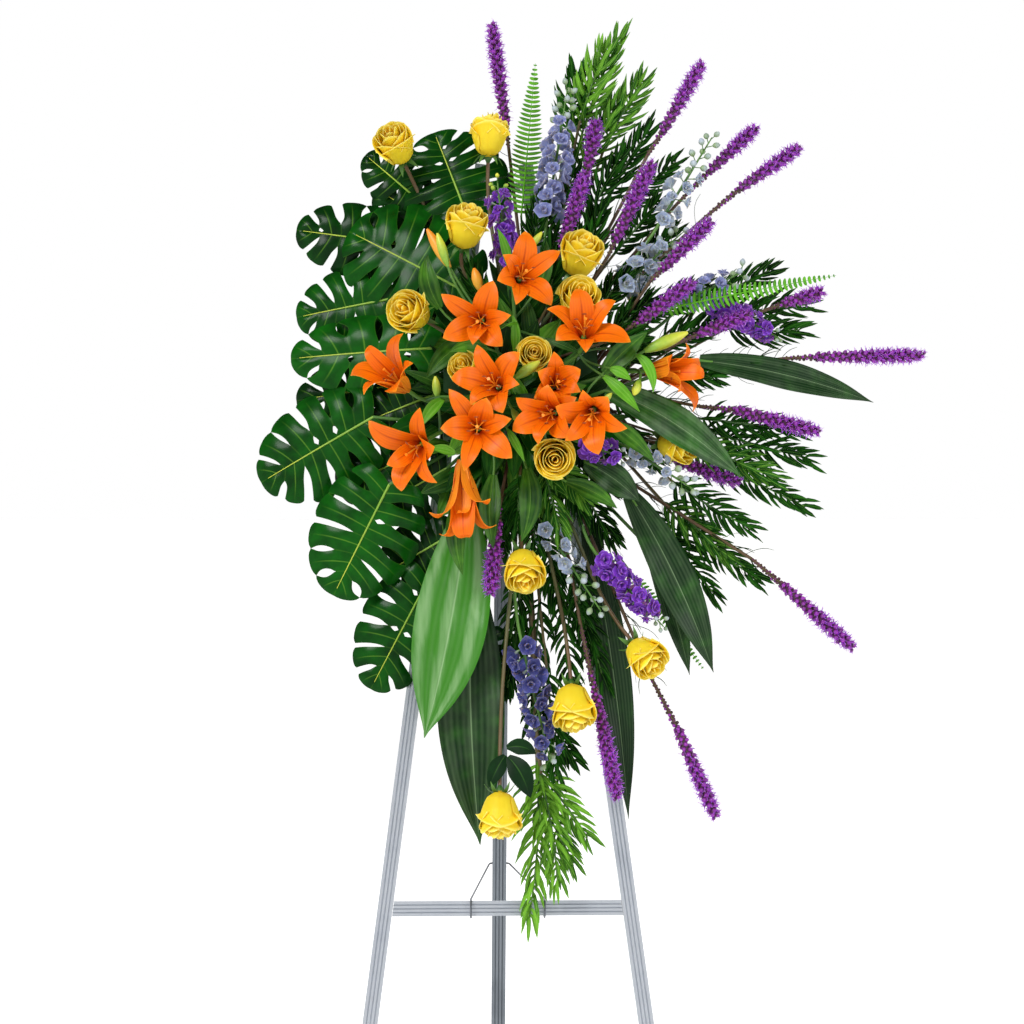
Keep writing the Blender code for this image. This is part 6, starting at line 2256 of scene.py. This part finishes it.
@dataclass(frozen=True)
class Podocarpus(Kind):
    """The shoots with narrow leaves."""

    shoot_radius: float = 0.0021
    shoot_steps: int = 8
    leaf_half: float = 0.0032
    flatness: float = 0.55
    greatest_roll: float = 0.8
    leaf: BladeForm = BladeForm(0.45, 0.35, 2.0, 0.9, 0.15, 0.15, rows=4, columns=2)

    def plant(self, bunch: Bunch, plan: ShootPlan, rng: Random) -> None:
        """Grows one shoot on its bare stem: leaves all round, most of them to its left and right.

        Args:
            bunch: Its bunch.
            plan: Its places and leaves.
            rng: Source of small differences.
        """
        foot, tip = plan.spots()
        bunch.stalk([foot], [self.shoot_radius] * 3, 7, "stem_brown")
        length = plan.leaf * MM
        axis = (tip - foot).normalized()
        run = tip - axis * length * 0.8 - foot
        ring = Ring.of(run)
        bow = STAND.front.cross(axis) * rng.uniform(-0.03, 0.03) * run.length

        def along(t: float) -> Vector:
            """A point of the bowed shoot."""
            return foot + run * t + bow * math.sin(math.pi * t)

        steps = range(self.shoot_steps + 1)
        radii = [self.shoot_radius * (1 - 0.06 * k) for k in steps]
        bunch.growth.tube([along(k / self.shoot_steps) for k in steps], radii, 7, "stem_green", 0.4)
        for k in range(plan.leaves):
            t = (k + 0.5) / plan.leaves
            out = ring.spoke(k * GOLDEN_ANGLE, self.flatness).normalized()
            spot = along(t)
            spread = math.radians(46 - 26 * t + rng.uniform(-7, 7))
            reach = length * (0.72 + 0.28 * math.sin(math.pi * min(t + 0.15, 1.0))) * rng.uniform(0.85, 1.05)
            end = spot + (axis * math.cos(spread) + out * math.sin(spread)) * reach
            path = bend(spot, end, axis * 0.5 + out, axis + out * 0.3, self.leaf.rows, 0.3)
            shade = min(max(plan.shade + rng.uniform(-0.25, 0.35), 0.0), 1.0)
            flat = (end - spot).cross(ring.facing).normalized()
            roll = rng.uniform(-self.greatest_roll, self.greatest_roll)
            wide = flat * math.cos(roll) + ring.facing * math.sin(roll)
            half = self.leaf_half * rng.uniform(0.8, 1.15)
            bunch.growth.blade(path, wide, half, self.leaf, plan.finish, shade)


@dataclass(frozen=True)
class FernPlan(Plan):
    """A fern frond: its foot and tip, its half width in millimetres and its leaflet pairs."""

    foot: Place
    tip: Place
    half_width: float
    pairs: int


# As in FernPlan
FRONDS = {
    "greens_top": (((22, 1440, 44), (43, 1666, 34), 27, 32),),
    "fern_right": (((240, 1300, 122), (496, 1350, 112), 17, 34),),
    "greens_low": (((196, 892, 14), (297, 757, 16), 10, 26),),
}


@dataclass(frozen=True)
class Ferns(Kind):
    """The sword fern fronds."""

    stalk_radii: Sizes = (0.0021, 0.0021, 0.0015)
    rib_radius: float = 0.0015
    rib_steps: int = 12
    least_reach: float = 0.002
    leaflet: BladeForm = BladeForm(0.25, 0.75, 2.4, 0.75, 0.12, rows=5, columns=2)

    def plant(self, bunch: Bunch, plan: FernPlan, rng: Random) -> None:
        """Grows one frond with its stalk: a rib with leaflets on both sides.

        Args:
            bunch: Its bunch.
            plan: Its places and sizes.
            rng: Source of small differences.
        """
        foot, tip = plan.spots()
        bunch.stalk([foot], self.stalk_radii, 7, "stem_green")
        leaf = FlatLeaf.of(foot, tip, plan.half_width * MM, 0.0)
        along, length = leaf.along, leaf.length

        def spine(t: float) -> Vector:
            """A point of the arched rib."""
            return foot + along * length * t + leaf.face * 0.03 * length * math.sin(math.pi * t)

        steps = range(self.rib_steps + 1)
        radii = [self.rib_radius * (1 - 0.07 * k) for k in steps]
        bunch.growth.tube([spine(k / self.rib_steps) for k in steps], radii, 6, "fern_green", 0.9)
        for k in range(plan.pairs):
            t = (k + 0.5) / plan.pairs
            reach = leaf.half * min(1.0, 0.70 + 1.2 * t) * (1 - t**1.7) + self.least_reach
            half = min(length / plan.pairs * 0.33, reach * 0.4)
            spot = spine(t)
            for hand in (1, -1):
                out = leaf.side * hand
                end = spot + out * reach + along * reach * 0.30 - leaf.face * 0.15 * reach
                path = bend(spot, end, out + along * 0.05, out + along * 0.45, self.leaflet.rows, 0.3)
                shade = rng.uniform(0.2, 0.8)
                bunch.growth.blade(path, along * hand, half, self.leaflet, "fern_green", shade)


# Stand


@dataclass(frozen=True)
class StandFinishes:
    """The finishes of the stand's own pieces, whose meshes stay as they are in the frame."""

    finishes: tuple[tuple[str, str], ...] = (
        ("easel_leg_left", "satin_aluminium"),
        ("easel_leg_right", "satin_aluminium"),
        ("easel_crossbar", "satin_aluminium"),
        # The rear leg gets the darker aluminium: painted shade
        ("easel_leg_rear", "shaded_aluminium"),
        ("hinge_bolt", "zinc_steel"),
        ("hinge_spacer_left", "spacer_white"),
        ("hinge_spacer_right", "spacer_white"),
        ("brace_wire", "galvanised_wire"),
        ("spray_tray", "tray_green"),
        ("floral_foam", "wet_foam"),
        ("tray_tie_left", "tie_black"),
        ("tray_tie_right", "tie_black"),
    )

    def dress(self, nodes: dict[str, Object], palette: Palette) -> None:
        """Gives each of the stand's nodes its finish.

        Args:
            nodes: The frame's nodes.
            palette: The material of each finish.
        """
        for node, finish in self.finishes:
            slots = nodes[node].material_slots
            for slot in slots:
                slot.material = palette[finish]
            log.info("%s: %s on %d slots", node, finish, len(slots))


# Studio


class LampKind(Enum):
    """Kinds of lamps."""

    SOFTBOX = "AREA"
    DISTANT = "SUN"


@dataclass(frozen=True)
class Lamp:
    """A soft lamp: where it is, what it points at, its size, its power, and its kind.

    The size is the width of a softbox in metres, or the angle that a distant lamp fills in radians.
    """

    name: str
    place: Place
    aim: Place
    size: float
    power: float
    kind: LampKind = LampKind.SOFTBOX


@dataclass(frozen=True)
class Studio:
    """Pale floor, soft lamps and the camera."""

    eye: Place = (-0.285, -4.603, 1.130)
    aim: Place = (-0.120, -0.106, 0.9945)
    lens: float = 105.4
    sight: float = 200.0
    floor_size: float = 60.0
    horizon: Colour = (255, 255, 255)
    zenith: Colour = (112, 110, 108)
    horizon_band: tuple[float, float] = (0.16, 0.36)
    lamps: tuple[Lamp, ...] = (
        Lamp("key_lamp", (-2.6, -3.6, 4.2), (0.0, 0.0, 1.1), 0.42, 2.7, LampKind.DISTANT),
        Lamp("fill_lamp", (2.8, -2.8, 1.8), (0.0, 0.0, 1.0), 2.0, 50.0),
        Lamp("rim_lamp", (0.6, 2.6, 2.8), (0.0, 0.0, 1.2), 1.8, 50.0),
    )

    def build(self, palette: Palette) -> None:
        """Sets up the floor, the lamps, the sky and the camera.

        Args:
            palette: The material of each finish.
        """
        half = self.floor_size / 2
        corners = [(-half, -half, 0), (half, -half, 0), (half, half, 0), (-half, half, 0)]
        mesh = bpy.data.meshes.new("studio_floor")
        mesh.from_pydata(corners, [], [(0, 1, 2, 3)])
        mesh.materials.append(palette["studio_floor"])
        floor = in_scene("studio_floor", mesh)
        for lamp in self.lamps:
            data = bpy.data.lights.new(lamp.name, lamp.kind.value)
            data.energy = lamp.power
            if lamp.kind is LampKind.DISTANT:
                data.angle = lamp.size
            else:
                data.size = lamp.size
            self.point(in_scene(lamp.name, data), lamp.place, lamp.aim)
        self.sky()
        data = bpy.data.cameras.new("camera")
        data.lens = self.lens
        data.clip_end = self.sight
        camera = in_scene("camera", data)
        self.point(camera, self.eye, self.aim)
        bpy.context.scene.camera = camera

    def sky(self) -> None:
        """Makes the sky, white round the horizon and darker above and below."""
        board = Board(bpy.data.worlds.new("studio_sky"), "Background")
        ways = board.node("ShaderNodeTexCoord", {}, {}).outputs["Generated"]
        height = Flow(board, board.node("ShaderNodeSeparateXYZ", {}, {0: ways}).outputs["Z"])
        share = abs(height).step(*self.horizon_band)
        bpy.context.scene.world = board.shade(Color=board.mix(share, self.horizon, self.zenith))
        bpy.context.scene.view_settings.view_transform = "Standard"

    def point(self, obj: Object, place: Place, aim: Place) -> None:
        """Puts a lamp or the camera at a place and aims it at another."""
        obj.location = place
        obj.rotation_euler = (Vector(aim) - Vector(place)).to_track_quat("-Z", "Y").to_euler()


def main() -> None:
    """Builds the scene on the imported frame."""
    logging.basicConfig(level=logging.INFO, format="%(message)s")
    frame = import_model()
    palette = {finish.name: finish.material() for finish in FINISHES}
    Studio().build(palette)
    StandFinishes().dress(frame["nodes"], palette)
    spray = Spray(palette)
    kinds = (
        Roses(),
        Lilies(),
        Liatris(7, planned(SpikePlan, SPIKES)),
        FloretStems(13, planned(FloretPlan, DELPHINIUMS), 0.010, 0.0058, ROUND_FLORET),
        FloretStems(13, planned(FloretPlan, STOCKS), 0.009, 0.0042, RUFFLED_FLORET),
        Monsteras(17, planned(MonsteraPlan, MONSTERAS)),
        Aspidistras(0, planned(BladePlan, ASPIDISTRAS)),
        Collar(),
        Podocarpus(23, planned(ShootPlan, SHOOTS)),
        Ferns(29, planned(FernPlan, FRONDS)),
    )
    for kind in kinds:
        kind.grow(spray)
        log.info("grown: %s", type(kind).__name__)
    spray.place()


if __name__ == "__main__":
    main()
